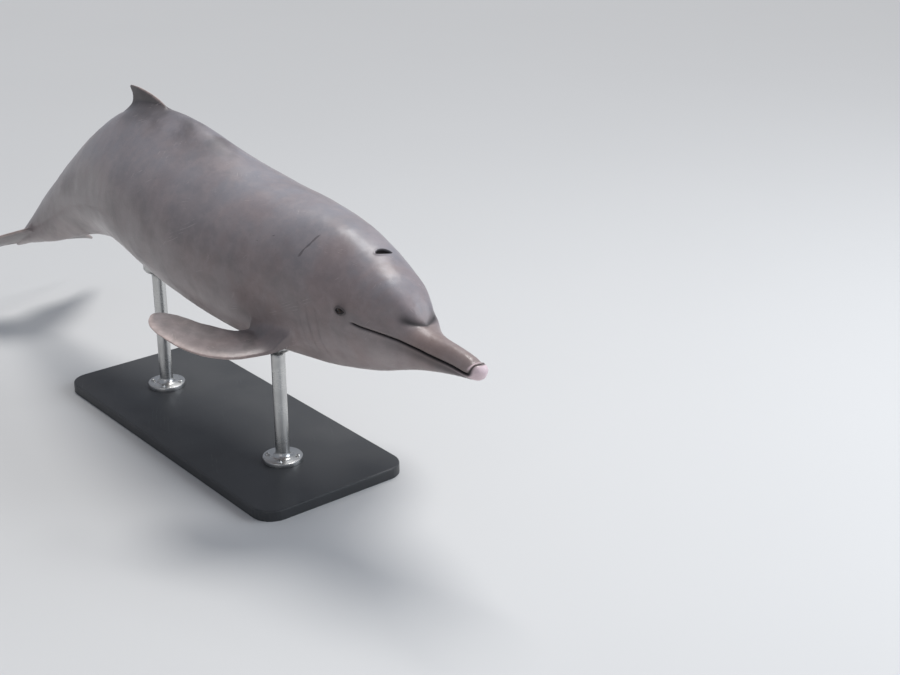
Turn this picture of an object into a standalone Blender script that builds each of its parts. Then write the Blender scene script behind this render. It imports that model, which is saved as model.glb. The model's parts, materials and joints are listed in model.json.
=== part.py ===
"""Adult Indian Ocean humpback dolphin, life size, leaping over a plain display stand.

The animal is lofted straight along its spine, from the tip of the beak at x = 0 back to the notch
of the flukes at x = -NOTCH_STATION, and its fins are blended into that skin. The skin and thin
cutters are then bent along the curve of the spine, and the cutters part the animal as a person
would name its parts.
Metres, +X toward the beak, +Z up, +Y to the animal's left. The origin is on the floor, under the
middle of the whole part.
"""

import functools
import math

import bmesh
import bpy
import numpy as np
from mathutils import Matrix, Vector

NAME = "humpback_dolphin"

# Sizes of the animal. "Station" is a distance back along the body from the tip of the beak.
NOTCH_STATION = 2.482  # notch of the flukes
BEAK_STATION = 0.207  # crease between beak and melon
GAPE_STATION = 0.357  # corner of the mouth
EYE_STATION, EYE_HEIGHT, EYE_RADIUS = 0.393, 0.017, 0.019
EYE_PROUD = 0.004
BLOWHOLE_STATION, BLOWHOLE_WIDTH, BLOWHOLE_LENGTH = 0.385, 0.043, 0.0165
BLOWHOLE_BOW, BLOWHOLE_LEAN, BLOWHOLE_DEPTH = 0.0028, 0.22, 0.012
FLIPPER_LENGTH, FLIPPER_CHORD = 0.35, 0.132
NOSE_LENGTH, UPPER_JAW_TAPER = 0.022, 0.040  # rounded tips of the lower and the upper jaw
UPPER_JAW_SETBACK, JAW_REACH = 0.014, 0.060  # the lower jaw ends this far in front of the upper
CHIN_TOP, CHIN_DROP = 0.25, 0.018  # the chin curves down in front of the upper jaw
RIDGE_WIDTH = 0.068  # half width of the hump where it has fallen to a third

# Where the leap bends the spine: pitch in degrees at a station, positive with the tail higher.
SPINE_PITCH = [(0.15, -2.8), (0.70, 3.8), (1.30, 0.0), (2.00, -29.7)]
BANK = math.radians(-5.1)  # the right side is lifted this far
BEAK_HEIGHT = 0.60  # beak tip above the floor

# Stand
BASE_LENGTH, BASE_WIDTH, BASE_HEIGHT = 1.10, 0.46, 0.030
BASE_CORNER, BASE_EDGE = 0.060, 0.004
ROD_STATIONS = {"front": 0.80, "rear": 1.46}
ROD_RADIUS, SADDLE_RADIUS, SADDLE_DEPTH = 0.019, 0.042, 0.030
FOOT_RADIUS, FOOT_HEIGHT = 0.055, 0.012

GAP = 0.0003  # between neighbours
AROUND = 36  # points round the body

# Profiles of the straight animal: (station, value).
BACK = [(0.02, -0.016), (0.10, -0.002), (0.17, 0.007), (0.205, 0.018), (0.24, 0.063),
        (0.29, 0.105), (0.35, 0.134), (0.42, 0.163), (0.52, 0.186), (0.66, 0.195),
        (0.85, 0.193), (1.05, 0.200), (1.25, 0.203), (1.45, 0.192), (1.65, 0.167),
        (1.85, 0.136), (2.05, 0.103), (2.22, 0.070), (2.36, 0.034), (2.44, 0.019), (2.50, 0.006)]
BELLY = [(0.02, -0.060), (0.10, -0.070), (0.20, -0.088), (0.35, -0.135), (0.50, -0.172),
         (0.70, -0.205), (0.95, -0.226), (1.20, -0.220), (1.45, -0.192), (1.65, -0.162),
         (1.85, -0.130), (2.05, -0.098), (2.22, -0.066), (2.36, -0.031), (2.44, -0.017),
         (2.50, -0.006)]
WIDEST = [(0.00, -0.0220), (0.005, -0.0240), (0.010, -0.0300), (0.017, -0.0400), (0.028, -0.0455),
          (0.085, -0.040), (0.146, -0.034), (0.20, -0.023), (0.24, -0.013), (0.30, -0.006),
          (0.335, -0.0045), (0.357, -0.002), (0.45, -0.004), (0.65, -0.008), (1.00, -0.018),
          (1.60, -0.004), (2.50, 0.000)]
HALF_WIDTH = [(0.02, 0.0235), (0.10, 0.0265), (0.17, 0.037), (0.205, 0.049), (0.24, 0.065),
              (0.29, 0.086), (0.35, 0.103), (0.42, 0.118), (0.52, 0.140), (0.66, 0.168),
              (0.85, 0.193), (1.05, 0.199), (1.25, 0.188), (1.45, 0.163), (1.65, 0.126),
              (1.85, 0.088), (2.05, 0.056), (2.22, 0.038), (2.36, 0.028), (2.44, 0.017),
              (2.50, 0.007)]
# Pinch of the section above and below its widest line: under 1 is boxy, over 1 a keel.
KEEL_ABOVE = [(0.00, 0.85), (0.20, 0.90), (0.30, 0.92), (0.60, 0.95), (1.10, 1.05),
              (1.60, 1.20), (2.00, 1.50), (2.30, 1.40), (2.50, 1.00)]
KEEL_BELOW = [(0.00, 0.80), (0.30, 0.85), (0.90, 0.90), (1.30, 1.00), (1.70, 1.25),
              (2.00, 1.50), (2.30, 1.40), (2.50, 1.00)]
HUMP = [(0.92, 0.000), (1.04, 0.011), (1.12, 0.027), (1.20, 0.041), (1.28, 0.050),
        (1.38, 0.059), (1.50, 0.062), (1.60, 0.051), (1.70, 0.033), (1.80, 0.016),
        (1.90, 0.005), (1.98, 0.000)]

# Blades: (place along the span, leading edge, trailing edge, half thickness).
DORSAL_FIN = [(0.264, 1.396, 1.556, 0.0088), (0.274, 1.420, 1.555, 0.0073),
              (0.284, 1.452, 1.558, 0.0058), (0.292, 1.486, 1.562, 0.0046),
              (0.299, 1.520, 1.566, 0.0034), (0.3025, 1.546, 1.563, 0.0022)]
FLUKE = [(0.052, 2.284, 2.500, 0.0130), (0.068, 2.297, 2.511, 0.0120),
         (0.090, 2.315, 2.517, 0.0109), (0.115, 2.338, 2.519, 0.0098),
         (0.150, 2.370, 2.521, 0.0085), (0.200, 2.421, 2.527, 0.0066),
         (0.250, 2.478, 2.541, 0.0046), (0.285, 2.522, 2.557, 0.0032),
         (0.303, 2.549, 2.570, 0.0022), (0.310, 2.563, 2.574, 0.0014)]
# Flipper: (share of the length, sweep, droop, edge twist in degrees, leading edge, trailing edge as
# shares of the chord, half thickness).
FLIPPER = [(0.14, 14, 26, 5, -0.50, 0.50, 0.0185), (0.30, 34, 12, 7, -0.53, 0.52, 0.0160),
           (0.46, 52, 3, 9, -0.53, 0.50, 0.0130), (0.62, 62, -2, 9, -0.49, 0.47, 0.0102),
           (0.78, 66, -5, 9, -0.395, 0.415, 0.0076), (0.85, 67, -6, 9, -0.350, 0.385, 0.0062),
           (0.91, 68, -6, 9, -0.275, 0.340, 0.0050), (0.952, 68, -6, 9, -0.190, 0.290, 0.0040),
           (0.980, 68, -6, 9, -0.105, 0.240, 0.0031), (1.00, 68, -6, 9, 0.00, 0.17, 0.0022)]
# Holes in the grid of the skin that the blades grow from: first and last station, columns.
FIN_HOLE = (1.355, 1.60, 16, 20)
FLIPPER_HOLE = (0.545, 0.695, 4, 7)
FLUKE_HOLE = (2.270, 2.475, 6, 12)

# Where the blades are parted from the body: height, side, and outward of the first section.
FIN_CUT, FLUKE_CUT, FLIPPER_CUT = 0.2585, 0.056, 0.004
# A point near the middle of each piece, to tell the pieces apart.
ANCHORS = {"beak": (-0.10, 0, -0.01), "lower_jaw": (-0.17, 0, -0.06), "head": (-0.35, 0, 0.03),
           "chest": (-0.75, 0, 0), "trunk": (-1.35, 0, 0.02), "tail_stock": (-2.1, 0, 0),
           "dorsal_fin": (-1.5, 0, 0.28), "flipper_left": (-0.75, 0.25, -0.15),
           "flipper_right": (-0.75, -0.25, -0.15), "fluke_left": (-2.48, 0.18, 0),
           "fluke_right": (-2.48, -0.18, 0)}

SKIN_UPPER, SKIN_SIDE, SKIN_LOWER = (0.155, 0.150, 0.162), (0.185, 0.172, 0.175), (0.42, 0.38, 0.38)
SKIN_BEAK, SKIN_FIN = (0.26, 0.205, 0.20), (0.215, 0.185, 0.175)


def smooth_curve(points):
    """Monotone cubic through (station, value) points, level beyond both ends."""
    x, v = np.array(points, float).T
    step = np.diff(x)
    rise = np.diff(v) / step
    steady = rise[:-1] * rise[1:] > 0
    before, after = np.where(steady, rise[:-1], 1.0), np.where(steady, rise[1:], 1.0)
    w1, w2 = 2 * step[1:] + step[:-1], step[1:] + 2 * step[:-1]
    slope = np.concatenate([[rise[0]], np.where(steady, (w1 + w2) / (w1 / before + w2 / after), 0.0),
                            [rise[-1]]])

    def value(at):
        at = np.clip(at, x[0], x[-1])
        i = np.clip(np.searchsorted(x, at, side="right") - 1, 0, len(step) - 1)
        t, h = (at - x[i]) / step[i], step[i]
        return ((1 + 2 * t) * (1 - t) ** 2 * v[i] + t * (1 - t) ** 2 * h * slope[i]
                + t * t * (3 - 2 * t) * v[i + 1] + t * t * (t - 1) * h * slope[i + 1])

    return value


back, belly, widest, half_width = map(smooth_curve, (BACK, BELLY, WIDEST, HALF_WIDTH))
keel_above, keel_below, hump = map(smooth_curve, (KEEL_ABOVE, KEEL_BELOW, HUMP))
spine_pitch = smooth_curve(SPINE_PITCH)


def column_angle(column):
    """Angle round the section: the belly at column 0, then the left side, the back, the right."""
    return math.tau * column / AROUND - math.pi / 2


def rounded(station, length):
    """Share of its full size that a rounded tip has reached at a station."""
    return math.sqrt(max(0.0, 1 - max(0.0, 1 - station / length) ** 2))


def jaw_setback(station):
    """How far the upper jaw lies behind the lower one."""
    return UPPER_JAW_SETBACK * max(0.0, 1 - station / JAW_REACH)


def skin_point(station, angle):
    """Point of the straight animal's skin."""
    nose = rounded(station, NOSE_LENGTH)
    side, up = math.cos(angle), math.sin(angle)
    middle = widest(station)
    if up > 0:
        height, keel = (back(station) - middle) * rounded(station, UPPER_JAW_TAPER), keel_above(station)
    else:
        height, keel = (middle - belly(station)) * nose, keel_below(station)
    y = half_width(station) * nose * math.copysign(abs(side) ** keel, side)
    chin = min(max(-up / CHIN_TOP, 0.0), 1.0) * math.pi / 2
    z = middle + height * up - CHIN_DROP * (1 - nose) * (1 - math.cos(chin))
    if up > 0:
        z += hump(station) * math.exp(-((y / RIDGE_WIDTH) ** 2))
    return Vector((-station - jaw_setback(station) * (1 - math.sin(chin)), y, z))


def body_stations():
    """Stations of the rings: close at the tip, the melon and the roots of the fins."""
    nose = [NOSE_LENGTH * (1 - math.cos(math.radians(a))) for a in (24, 43, 60, 76)]
    runs = [(NOSE_LENGTH, 0.040, 4), (0.066, 0.190, 5), (0.216, 0.345, 8), (0.372, 0.485, 5),
            (0.515, 0.545, 2), (FLIPPER_HOLE[0], FLIPPER_HOLE[1], 6), (0.74, 1.295, 9),
            (FIN_HOLE[0], FIN_HOLE[1], 7), (1.65, 2.20, 8), (FLUKE_HOLE[0], FLUKE_HOLE[1], 7),
            (2.478, 2.481, 2)]
    return np.unique(np.round(np.concatenate([nose] + [np.linspace(*run) for run in runs]), 5))


def hole_rim(stations, hole):
    """Grid corners round a rectangular hole: tailward along its first column, then back."""
    first, last = (int(np.argmin(abs(stations - s))) for s in hole[:2])
    low, high = hole[2:]
    rows, columns = range(first, last), range(low, high)
    rim = [(i, low) for i in rows] + [(last, j) for j in columns]
    rim += [(i + 1, high) for i in reversed(rows)] + [(first, j + 1) for j in reversed(columns)]
    return rim, len(rows), len(columns)


def blade_ring(lead, trail, normal, half_thickness, along, across):
    """Closed section of a blade, in the order of the rim of the hole that it grows from."""
    chord = trail - lead

    def thickness(c):
        return half_thickness * 5 * (0.2969 * math.sqrt(c) - 0.126 * c - 0.3516 * c**2
                                     + 0.2843 * c**3 - 0.0952 * c**4)

    ends = (0.035, 0.975)
    share = [ends[0] + (ends[1] - ends[0]) * (0.5 - 0.5 * math.cos(math.pi * i / along))
             for i in range(along + 1)]
    turn = [math.pi * j / across - math.pi / 2 for j in range(across + 1)]
    near = [(c, -thickness(c)) for c in share]
    far = [(c, thickness(c)) for c in share]
    trailing = [(ends[1] + (1 - ends[1]) * math.cos(a), thickness(ends[1]) * math.sin(a)) for a in turn]
    leading = [(ends[0] - ends[0] * math.cos(a), -thickness(ends[0]) * math.sin(a)) for a in turn]
    ring = near[:-1] + trailing[:-1] + far[:0:-1] + leading[:-1]
    return [lead + chord * c + normal * t for c, t in ring]


def dorsal_rows(along, across):
    return [blade_ring(Vector((-lead, 0, z)), Vector((-trail, 0, z)), Vector((0, -1, 0)), half,
                       along, across) for z, lead, trail, half in DORSAL_FIN]


def fluke_rows(along, across):
    return [blade_ring(Vector((-lead, y, 0)), Vector((-trail, y, 0)), Vector((0, 0, 1)), half,
                       along, across) for y, lead, trail, half in FLUKE]


def flipper_rows(along, across):
    middle_column = (FLIPPER_HOLE[2] + FLIPPER_HOLE[3]) / 2
    place = skin_point((FLIPPER_HOLE[0] + FLIPPER_HOLE[1]) / 2, column_angle(middle_column))
    rows, reached = [], 0.0
    for share, sweep, droop, twist, lead, trail, half in FLIPPER:
        sweep, droop, twist = map(math.radians, (sweep, droop, twist))
        span = Vector((-math.sin(sweep) * math.cos(droop), math.cos(sweep) * math.cos(droop),
                       -math.sin(droop)))
        back_edge = Vector((-math.cos(sweep) * math.cos(twist), -math.sin(sweep) * math.cos(twist),
                            math.sin(twist)))
        place = place + span * (share - reached) * FLIPPER_LENGTH
        reached = share
        chord = back_edge * FLIPPER_CHORD
        normal = span.cross(back_edge).normalized()
        rows.append(blade_ring(place + chord * lead, place + chord * trail,
                               normal if normal.z > 0 else -normal, half, along, across))
    return rows


def blend(rim, outside, first, second, steps):
    """Rings of a smooth fillet from the rim of a hole to a blade's first section."""
    rings = []
    for step in range(1, steps):
        t = step / steps
        ring = []
        for a, before, b, after in zip(rim, outside, first, second):
            way = b - a
            start, end = (a - before).normalized(), (after - b).normalized()
            # A tangent that points away from the way across would fold the fillet: it fades out.
            start, end = start * max(0.0, start.dot(way)), end * max(0.0, end.dot(way))
            ring.append(a * (1 + 2 * t) * (1 - t) ** 2 + start * t * (1 - t) ** 2
                        + b * t * t * (3 - 2 * t) + end * t * t * (t - 1))
        rings.append(ring)
    return rings


def add_blade(bm, grid, stations, hole, rows_of, mirrored=False):
    """Grow a blade out of a hole in the skin, on the right side if it is mirrored."""
    rim, along, across = hole_rim(stations, hole)
    rows = rows_of(along, across)
    first, last = rim[0][0], rim[0][0] + along
    low, high = hole[2:]

    def beyond(i, j):
        return (i - (i == first) + (i == last), j - (j == low) + (j == high))

    flip = Vector((1, -1, 1)) if mirrored else Vector((1, 1, 1))
    to_grid = (lambda i, j: (i, -j % AROUND)) if mirrored else (lambda i, j: (i, j))
    edge = [Vector(grid[i][j].co * flip) for i, j in (to_grid(*k) for k in rim)]
    outer = [Vector(grid[i][j].co * flip) for i, j in (to_grid(*beyond(*k)) for k in rim)]
    rings = [[grid[i][j] for i, j in (to_grid(*k) for k in rim)]]
    for ring in blend(edge, outer, rows[0], rows[1], 4) + rows:
        rings.append([bm.verts.new(point * flip) for point in ring])
    count = len(rim)
    for inner, outward in zip(rings, rings[1:]):
        for k in range(count):
            n = (k + 1) % count
            bm.faces.new((inner[k], inner[n], outward[n], outward[k]))
    # The blade's end: a patch between its two faces.
    tip = rings[-1]
    near, far = tip[:along + 1], [tip[(-across - k) % count] for k in range(along + 1)]
    patch = [near]
    for j in range(1, across):
        lead, trail = tip[-j], tip[along + j]
        inside = [bm.verts.new(near[i].co.lerp(far[i].co, j / across)) for i in range(1, along)]
        patch.append([lead] + inside + [trail])
    patch.append(far)
    for a, b in zip(patch, patch[1:]):
        for i in range(along):
            bm.faces.new((a[i], a[i + 1], b[i + 1], b[i]))


def close_beak(bm, ring):
    """Close the tip: its two sides meet along the middle of the chin and the upper jaw."""
    seam, top = [], AROUND // 2
    for column in range(top + 1):
        place = skin_point(0.0, column_angle(column)) * Vector((1, 0, 1))
        same = seam and (seam[-1].co - place).length < GAP
        seam.append(seam[-1] if same else bm.verts.new(place))
    for side in (ring[:top + 1], [ring[0]] + ring[:top - 1:-1]):
        for k in range(top):
            bm.faces.new(dict.fromkeys((seam[k], seam[k + 1], side[k + 1], side[k])))


def animal():
    """One closed skin with its fins, bent along the spine."""
    stations = body_stations()
    bm = bmesh.new()
    grid = [[bm.verts.new(skin_point(s, column_angle(j))) for j in range(AROUND)] for s in stations]
    holes = []
    for hole in (FIN_HOLE, FLIPPER_HOLE, FLUKE_HOLE):
        first, last = (int(np.argmin(abs(stations - s))) for s in hole[:2])
        columns = set(range(hole[2], hole[3]))
        holes.append((first, last, columns | {AROUND - 1 - j for j in columns}))
    for i in range(len(stations) - 1):
        for j in range(AROUND):
            if any(first <= i < last and j in columns for first, last, columns in holes):
                continue
            n = (j + 1) % AROUND
            bm.faces.new((grid[i][j], grid[i][n], grid[i + 1][n], grid[i + 1][j]))
    close_beak(bm, grid[0])
    end = bm.verts.new((-NOTCH_STATION, 0, 0))
    for j in range(AROUND):
        bm.faces.new((grid[-1][j], grid[-1][(j + 1) % AROUND], end))
    add_blade(bm, grid, stations, FIN_HOLE, dorsal_rows)
    for mirrored in (False, True):
        add_blade(bm, grid, stations, FLIPPER_HOLE, flipper_rows, mirrored)
        add_blade(bm, grid, stations, FLUKE_HOLE, fluke_rows, mirrored)
    for vertex in bm.verts:
        vertex.co = bent(vertex.co)
    bmesh.ops.recalc_face_normals(bm, faces=bm.faces)
    return bm


def new_object(name, bm, collection):
    mesh = bpy.data.meshes.new(name)
    bm.to_mesh(mesh)
    bm.free()
    obj = bpy.data.objects.new(name, mesh)
    collection.objects.link(obj)
    return obj


def box(name, low, high, collection):
    """Box between two corners."""
    bm = bmesh.new()
    bmesh.ops.create_cube(bm, size=1.0)
    low, high = Vector(low), Vector(high)
    bmesh.ops.scale(bm, vec=high - low, verts=bm.verts)
    bmesh.ops.translate(bm, vec=(low + high) / 2, verts=bm.verts)
    return new_object(name, bm, collection)


def sheet(name, line, reach, collection):
    """Thin sheet across the animal, along a line of x and z on the straight body."""
    bm = bmesh.new()
    points = np.array(line)
    way = np.gradient(points, axis=0)
    way /= np.linalg.norm(way, axis=1, keepdims=True)
    rings = [[bm.verts.new(bent(Vector((x - side * dz * GAP / 2, y, z + side * dx * GAP / 2))))
              for y, side in ((-reach, 1), (reach, 1), (reach, -1), (-reach, -1))]
             for (x, z), (dx, dz) in zip(points, way)]
    return loft(name, bm, rings, collection)


def mouth_line():
    """Line between the jaws, from in front of the chin to the corner of the mouth."""
    stations = np.concatenate([np.linspace(0, 0.034, 12), np.linspace(0.040, GAPE_STATION, 22)])
    ahead = [(0.030, -0.014), (-0.008, -0.0195)]
    return ahead + [(-s - jaw_setback(s), float(widest(s))) for s in stations]


def loft(name, bm, rings, collection):
    """Closed solid through rings of equal count."""
    for a, b in zip(rings, rings[1:]):
        for k in range(len(a)):
            n = (k + 1) % len(a)
            bm.faces.new((a[k], a[n], b[n], b[k]))
    bm.faces.new(rings[0])
    bm.faces.new(rings[-1])
    bmesh.ops.recalc_face_normals(bm, faces=bm.faces)
    return new_object(name, bm, collection)


def blowhole_cutter(collection):
    """Slot across the top of the head, with its ends toward the beak and the left one more so."""
    bm = bmesh.new()
    rings, steps, half = [], 10, BLOWHOLE_WIDTH / 2
    top = back(BLOWHOLE_STATION)
    for i in range(steps + 1):
        t = 2 * i / steps - 1
        wide = 0.0008 + (BLOWHOLE_LENGTH / 2 - 0.0008) * (1 - t * t)
        x, y = -BLOWHOLE_STATION + BLOWHOLE_BOW * t * t + BLOWHOLE_LEAN * half * t, half * t
        rings.append([bm.verts.new((x + dx, y, top + dz)) for dx, dz in
                      ((-wide, 0.03), (wide, 0.03), (0.4 * wide, -BLOWHOLE_DEPTH),
                       (-0.4 * wide, -BLOWHOLE_DEPTH))])
    return carried(loft("cut_blowhole", bm, rings, collection), BLOWHOLE_STATION)


def eye_centre(side):
    angle = math.asin((EYE_HEIGHT - widest(EYE_STATION)) / (back(EYE_STATION) - widest(EYE_STATION)))
    surface = skin_point(EYE_STATION, angle)
    return Vector((surface.x, side * (surface.y + EYE_PROUD - EYE_RADIUS), surface.z))


def eye(name, side, radius, collection):
    bm = bmesh.new()
    bmesh.ops.create_uvsphere(bm, u_segments=16, v_segments=8, radius=radius)
    bmesh.ops.translate(bm, vec=eye_centre(side), verts=bm.verts)
    return carried(new_object(name, bm, collection), EYE_STATION)


def flipper_cutter(name, side, collection):
    """Thin slab across the root of a flipper, just clear of the flank."""
    along, across = 4, 2
    ring = flipper_rows(along, across)[0]
    middle = sum(ring, Vector()) / len(ring)
    chord = (ring[along] - ring[0]).normalized()
    span = chord.cross(ring[-across] - ring[0]).normalized()
    turn = Matrix((chord, span.cross(chord), span)).transposed()
    bm = bmesh.new()
    bmesh.ops.create_cube(bm, size=1.0)
    bmesh.ops.scale(bm, vec=(1.6 * FLIPPER_CHORD, 0.10, GAP), verts=bm.verts)
    bmesh.ops.rotate(bm, matrix=turn, verts=bm.verts)
    bmesh.ops.translate(bm, vec=middle, verts=bm.verts)
    bmesh.ops.translate(bm, vec=span * math.copysign(FLIPPER_CUT, span.y), verts=bm.verts)
    bmesh.ops.scale(bm, vec=(1, side, 1), verts=bm.verts)
    bmesh.ops.recalc_face_normals(bm, faces=bm.faces)
    return carried(new_object(name, bm, collection), -middle.x)


def cutters(collection):
    """Every cut that parts the animal."""
    wide, high, low = 0.5, 0.5, -0.5

    def slab(name, station, bottom=low, top=high):
        low_corner, high_corner = (-station - GAP / 2, -wide, bottom), (-station + GAP / 2, wide, top)
        return carried(box(name, low_corner, high_corner, collection), station)

    fin_root = [(-s, FIN_CUT) for s in np.linspace(FIN_HOLE[0] - 0.02, FIN_HOLE[1] + 0.04, 16)]
    cuts = [sheet("cut_mouth", mouth_line(), 0.16, collection),
            sheet("cut_fin", fin_root, 0.1, collection),
            slab("cut_beak", BEAK_STATION, bottom=widest(BEAK_STATION)),
            slab("cut_jaw", GAPE_STATION - GAP / 2, top=widest(GAPE_STATION)),
            slab("cut_neck", 0.50), slab("cut_chest", 1.01), slab("cut_trunk", 1.70),
            blowhole_cutter(collection)]
    for side, word in ((1, "left"), (-1, "right")):
        cuts.append(flipper_cutter(f"cut_flipper_{word}", side, collection))
        edges = sorted((side * FLUKE_CUT, side * (FLUKE_CUT + GAP)))
        fluke = box(f"cut_fluke_{word}", (-2.62, edges[0], low), (-2.21, edges[1], high), collection)
        cuts.append(carried(fluke, FLUKE_HOLE[0]))
        cuts.append(eye(f"cut_socket_{word}", side, EYE_RADIUS + GAP, collection))
    return cuts


@functools.cache
def spine_frame(station):
    """Matrix that carries the straight section at a station to its place on the banked, bent body."""
    at = np.linspace(0.0, station, 241)
    angle = np.radians(spine_pitch(at))
    x, z = (float(((f[1:] + f[:-1]) / 2 * np.diff(at)).sum()) for f in (-np.cos(angle), np.sin(angle)))
    pitch = Matrix.Rotation(angle[-1], 4, "Y")
    return Matrix.Rotation(BANK, 4, "X") @ Matrix.Translation((x, 0, z)) @ pitch


def bent(point):
    """A point of the straight animal, carried by the spine."""
    station = max(-point.x, 0.0)
    return spine_frame(station) @ Vector((point.x + station, point.y, point.z))


def carried(obj, station):
    """Move a straight cutter or an eye with the section at its station."""
    obj.data.transform(spine_frame(station) @ Matrix.Translation((station, 0, 0)))
    return obj


def material(name, colour, roughness, metallic=0.0):
    made = bpy.data.materials.new(name)
    made.use_nodes = True
    shader = made.node_tree.nodes["Principled BSDF"]
    shader.inputs["Base Color"].default_value = (*colour, 1)
    shader.inputs["Roughness"].default_value = roughness
    shader.inputs["Metallic"].default_value = metallic
    made.diffuse_color = (*colour, 1)
    return made


def flesh_name(obj):
    """What a piece of the cut animal is called: the anchor that lies nearest to its middle."""
    middle = sum((v.co for v in obj.data.vertices), Vector()) / len(obj.data.vertices)
    return min(ANCHORS, key=lambda name: (bent(Vector(ANCHORS[name])) - middle).length)


def part_animal(collection, helpers):
    """The animal as closed pieces with thin gaps between them."""
    body = new_object("skin", animal(), collection)
    for cutter in cutters(helpers):
        modifier = body.modifiers.new(cutter.name, "BOOLEAN")
        modifier.object, modifier.operation, modifier.solver = cutter, "DIFFERENCE", "EXACT"
    graph = bpy.context.evaluated_depsgraph_get()
    body.data = bpy.data.meshes.new_from_object(body.evaluated_get(graph))
    body.modifiers.clear()
    bpy.context.view_layer.objects.active = body
    body.select_set(True)
    bpy.ops.object.mode_set(mode="EDIT")
    bpy.ops.mesh.select_all(action="SELECT")
    bpy.ops.mesh.separate(type="LOOSE")
    bpy.ops.object.mode_set(mode="OBJECT")
    pieces = list(bpy.context.selected_objects)
    for piece in pieces:
        piece.select_set(False)
    return pieces


def settle(objects):
    """Shift that stands the bent animal over the origin, with the beak at its height."""
    points = np.array([v.co for obj in objects for v in obj.data.vertices])
    middle = (points.min(axis=0) + points.max(axis=0)) / 2
    return Vector((-middle[0], -middle[1], BEAK_HEIGHT))


def rod(name, station, shift, animal, collection, helpers):
    """Turned rod with a foot and a saddle that is trimmed to the belly."""
    foot = bent(Vector((-station, 0, belly(station)))) + shift
    top = foot.z + 0.06
    start = foot.z - SADDLE_DEPTH
    floor = BASE_HEIGHT + GAP
    profile = [(0, top), (SADDLE_RADIUS, top), (SADDLE_RADIUS, start),
               (SADDLE_RADIUS - 0.006, start - 0.008), (ROD_RADIUS + 0.003, start - 0.014),
               (ROD_RADIUS, start - 0.022), (ROD_RADIUS, floor + FOOT_HEIGHT + 0.010),
               (ROD_RADIUS + 0.004, floor + FOOT_HEIGHT + 0.003), (ROD_RADIUS + 0.012, floor + FOOT_HEIGHT),
               (FOOT_RADIUS - 0.003, floor + FOOT_HEIGHT), (FOOT_RADIUS, floor + FOOT_HEIGHT - 0.003),
               (FOOT_RADIUS, floor), (0, floor)]
    bm = bmesh.new()
    points = [bm.verts.new((r, 0, z)) for r, z in profile]
    edges = [bm.edges.new(pair) for pair in zip(points, points[1:])]
    bmesh.ops.spin(bm, geom=points + edges, cent=(0, 0, 0), axis=(0, 0, 1), angle=math.tau, steps=20,
                   use_merge=True, use_duplicate=False)
    bmesh.ops.remove_doubles(bm, verts=bm.verts, dist=0.00005)
    bmesh.ops.recalc_face_normals(bm, faces=bm.faces)
    bmesh.ops.translate(bm, vec=(foot.x, foot.y, 0), verts=bm.verts)
    obj = new_object(name, bm, collection)
    modifier = obj.modifiers.new("trim", "BOOLEAN")
    modifier.object, modifier.operation, modifier.solver = animal, "DIFFERENCE", "EXACT"
    return obj


def stand_base(centre, collection):
    """Flat plate with rounded corners and edges."""
    bm = bmesh.new()
    bmesh.ops.create_cube(bm, size=1.0)
    bmesh.ops.scale(bm, vec=(BASE_LENGTH, BASE_WIDTH, BASE_HEIGHT), verts=bm.verts)
    bmesh.ops.translate(bm, vec=(centre.x, centre.y, BASE_HEIGHT / 2), verts=bm.verts)
    corners = [e for e in bm.edges if abs(e.verts[0].co.z - e.verts[1].co.z) > BASE_HEIGHT / 2]
    bmesh.ops.bevel(bm, geom=corners, offset=BASE_CORNER, segments=8, affect="EDGES", profile=0.5)
    rim = [e for e in bm.edges if all(v.co.z > BASE_HEIGHT * 0.9 for v in e.verts)]
    bmesh.ops.bevel(bm, geom=rim, offset=BASE_EDGE, segments=2, affect="EDGES", profile=0.5)
    return new_object("stand_base", bm, collection)


def main():
    for obj in list(bpy.data.objects):
        bpy.data.objects.remove(obj)
    collection, helpers = bpy.data.collections.new(NAME), bpy.data.collections.new("cutters")
    for group in (collection, helpers):
        bpy.context.scene.collection.children.link(group)
    looks = {"beak": (SKIN_BEAK, 0.32), "lower_jaw": (SKIN_LOWER, 0.34), "head": (SKIN_SIDE, 0.28),
             "chest": (SKIN_SIDE, 0.30), "trunk": (SKIN_UPPER, 0.28), "tail_stock": (SKIN_UPPER, 0.30),
             "dorsal_fin": (SKIN_FIN, 0.34), "flipper": (SKIN_FIN, 0.34), "fluke": (SKIN_FIN, 0.34)}
    pieces = part_animal(collection, helpers)
    for piece in pieces:
        piece.name = piece.data.name = flesh_name(piece)
    for side, word in ((1, "left"), (-1, "right")):
        pieces.append(eye(f"eye_{word}", side, EYE_RADIUS, collection))
    whole = new_object("cut_animal", animal(), helpers)
    shift = settle(pieces)
    for obj in pieces + [whole]:
        obj.data.transform(Matrix.Translation(shift))
    offset = whole.modifiers.new("gap", "DISPLACE")
    offset.mid_level, offset.strength = 0.0, GAP
    rods = [rod(f"stand_rod_{word}", station, shift, whole, collection, helpers)
            for word, station in ROD_STATIONS.items()]
    feet = [bent(Vector((-station, 0, 0))) + shift for station in ROD_STATIONS.values()]
    base = stand_base((feet[0] + feet[1]) / 2, collection)
    for obj in pieces:
        kind = obj.name.split("_left")[0].split("_right")[0]
        colour, roughness = looks.get(kind, ((0.01, 0.009, 0.008), 0.08))
        obj.data.materials.clear()
        obj.data.materials.append(material(obj.name, colour, roughness))
    for obj in rods:
        obj.data.materials.append(material(obj.name, (0.55, 0.56, 0.57), 0.30, 1.0))
    base.data.materials.append(material("stand_base", (0.045, 0.047, 0.05), 0.45))
    for obj in pieces + rods + [base]:
        obj.data.shade_smooth()
        obj.data.set_sharp_from_angle(angle=math.radians(40))
    for helper in helpers.objects:
        helper.hide_render, helper.display_type = True, "WIRE"


main()
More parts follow.
